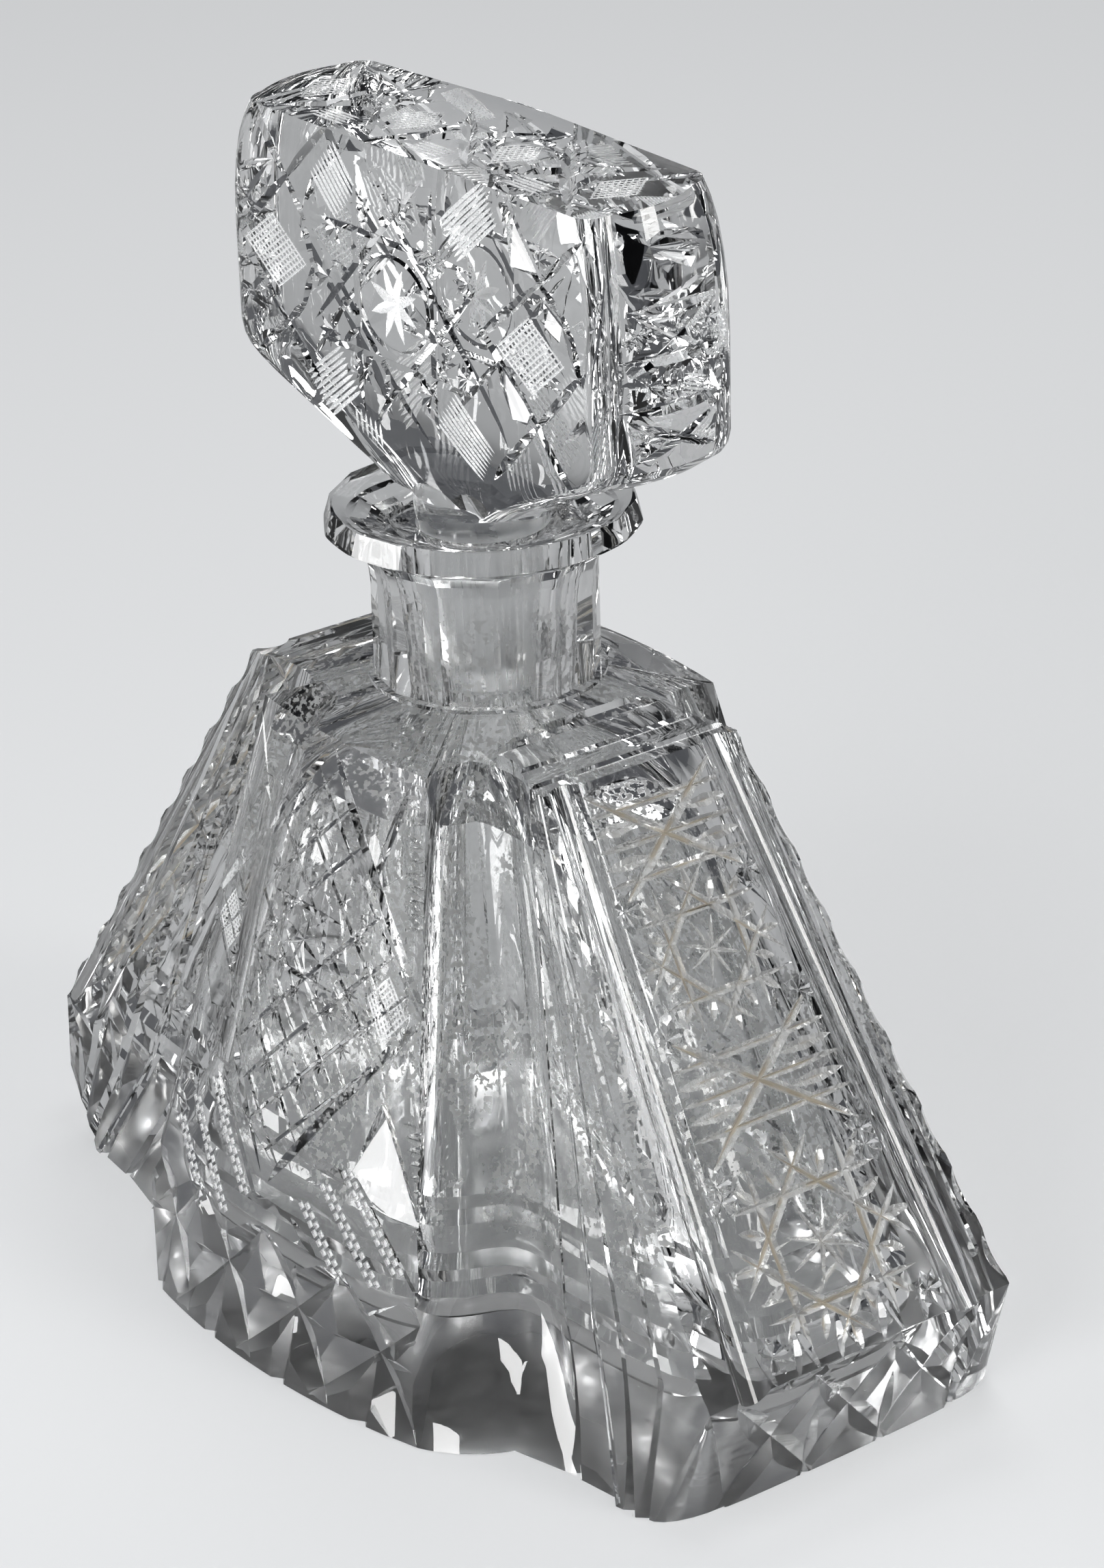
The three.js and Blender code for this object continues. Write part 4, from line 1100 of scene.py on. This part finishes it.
FRAMES = [                    # the paths of the deep cuts that frame the crossed fields
    [(-25, 50), (-36.5, 38.5), (-52.5, 24.5)],
    [(-48, 50), (-36.5, 38.5), (-31, 32), (-28.5, 23), (-32, 15), (-37, 11), (-48, 2)],
    [(-54, 25.5), (-37, 10), (-29, 2)],
    [(22, 22.5), (38, 35), (50, 45.5)],
    [(22, 24.5), (38, 10.5), (48, -1.5)],
    [(26, 50), (40, 36), (46, 32), (49, 28), (50.5, 22), (38, 9.5), (24, -3.5)]]
for path in FRAMES:
    for a, b in zip(path, path[1:]):
        a, b = Vector(a), Vector(b)
        extra = (b - a).normalized() * 1.5
        side_cuts += groove(side, a - extra, b + extra, 1.3, 0.75, wheel=16)
for a, b, spread in (((-25.6, 44.7), (-17.4, 37.3), 9), ((13.3, 37.7), (24.7, 47.3), 8),
                     ((-30, -2.2), (-18, 6.2), 9), ((11, 6.3), (22, -2.3), 9)):
    side_cuts += fine_lines(side, a, b, spread, 9, 0.4)
side_cuts += fine_lines(side, (-16, -7.5), (-14.5, -2), 7, 6, 0.4)
LENSES = [                    # outline, slope, and the turn that the flat cut slopes down towards
    ([(29, 48.5), (39.5, 37.5), (31.5, 37.5)], 0.27, 45),
    ([(27, 19), (36, 11.5), (35, 9.5), (31, 9.5), (28, 15)], 0.3, 48),
    ([(41, 33), (46, 30), (45, 27), (41, 29)], 0.29, 47)]
FLATS = [                     # corners with their depths
    [(-12, 46, 0), (-6, 47, 0.1), (-4, 37, 0.9)], [(1, 45, 0.8), (8, 46, 0), (6, 37, 0.3)],
    [(-50, 13, 0), (-44, 12, 0.2), (-48, 4, 1.0)], [(9, 12, 0.9), (16, 16, 0.1), (17, 9, 0)]]
for corners in [tilted(*outline) for outline in LENSES] + FLATS:
    side_cuts += facet(side, corners)
for spot in ((-25, 22), (14, 24), (-13, 38), (6, 7), (-14, 7), (18, 31), (-22, 32), (-24, 12), (17, 13)):
    side_cuts += star(side, spot, 3.4, 8, 0.8)

# %% Stopper: ends and top
end = Face((HEAD_LENGTH / 2 + HEAD_END_BOW, 0, HEAD_BOTTOM), (0, 1, 0), (0, 0, 1),
           lambda u, v: -HEAD_END_BOW * (u / (HEAD_DEPTH / 2 - HEAD_CORNER)) ** 2)
end_cuts = []
for v in (4, 16, 25, 34, 43):
    end_cuts += groove(end, (-11.5, v), (11.5, v), 1.2)
for a, b in (((-10, 22), (10, 34)), ((-10, 34), (10, 22)), ((-10, 6), (10, 14)), ((-10, 14), (10, 6))):
    end_cuts += groove(end, a, b, 0.9)
for spot in ((-5.5, 39), (5.5, 39), (-5.5, 20), (0, 29.5), (-6, 10), (-8, 29.5), (8, 29.5), (-4, 46),
             (5, 46)):
    end_cuts += star(end, spot, 3.2, 8, 0.8)
end_cuts += fine_lines(end, (0, 19.5), (6, 17.5), 4, 6, 0.35) + fine_lines(end, (2, 8), (8, 11), 5, 7, 0.35)
end_cuts += hatched(end, (7.5, 27), (10.5, 31), (12.5, 26), (9.5, 21), 6)
TOP_DEPTH = HEAD_LEVELS[-1][2] * 2
top = Face((0, 0, HEAD_TOP + TOP_RISE / 2), (1, 0, 0), (0, TOP_DEPTH, TOP_RISE),
           lambda u, v: top_arch(Vector((u, v)), HEAD_LEVELS[-1][1], TOP_DEPTH / 2))
top_cuts = []
for middle in (-29, 0, 29):
    for way in (-1, 1):
        top_cuts += groove(top, (middle - 14, -11.5 * way), (middle + 14, 11.5 * way), 1.4)
    top_cuts += star(top, (middle, 0), 4.4, 8, 0.9, pi / 8)
    for aside in (-8.5, 8.5):
        top_cuts += groove(top, (middle + aside, -10), (middle + aside * 0.5, 10), 0.9)
for middle in (-43, -14.5, 14.5, 43):
    top_cuts += hatched(top, (middle - 5.5, 0), (middle, 7), (middle + 5.5, 0), (middle, -7), 8)
for middle in (-29, 0, 29):
    for way in (-1, 1):
        top_cuts += fine_lines(top, (middle - 5, way * 8.6), (middle + 5, way * 8.6), 3.6, 5, 0.35)
cutters = turned_copies(side_cuts + end_cuts) + top_cuts
print("stopper pattern of", len(side_cuts), "side,", len(end_cuts), "end and", len(top_cuts), "top cutters")
boolean(stopper, cutters, "DIFFERENCE")
finished(stopper, "stopper", "stopper")
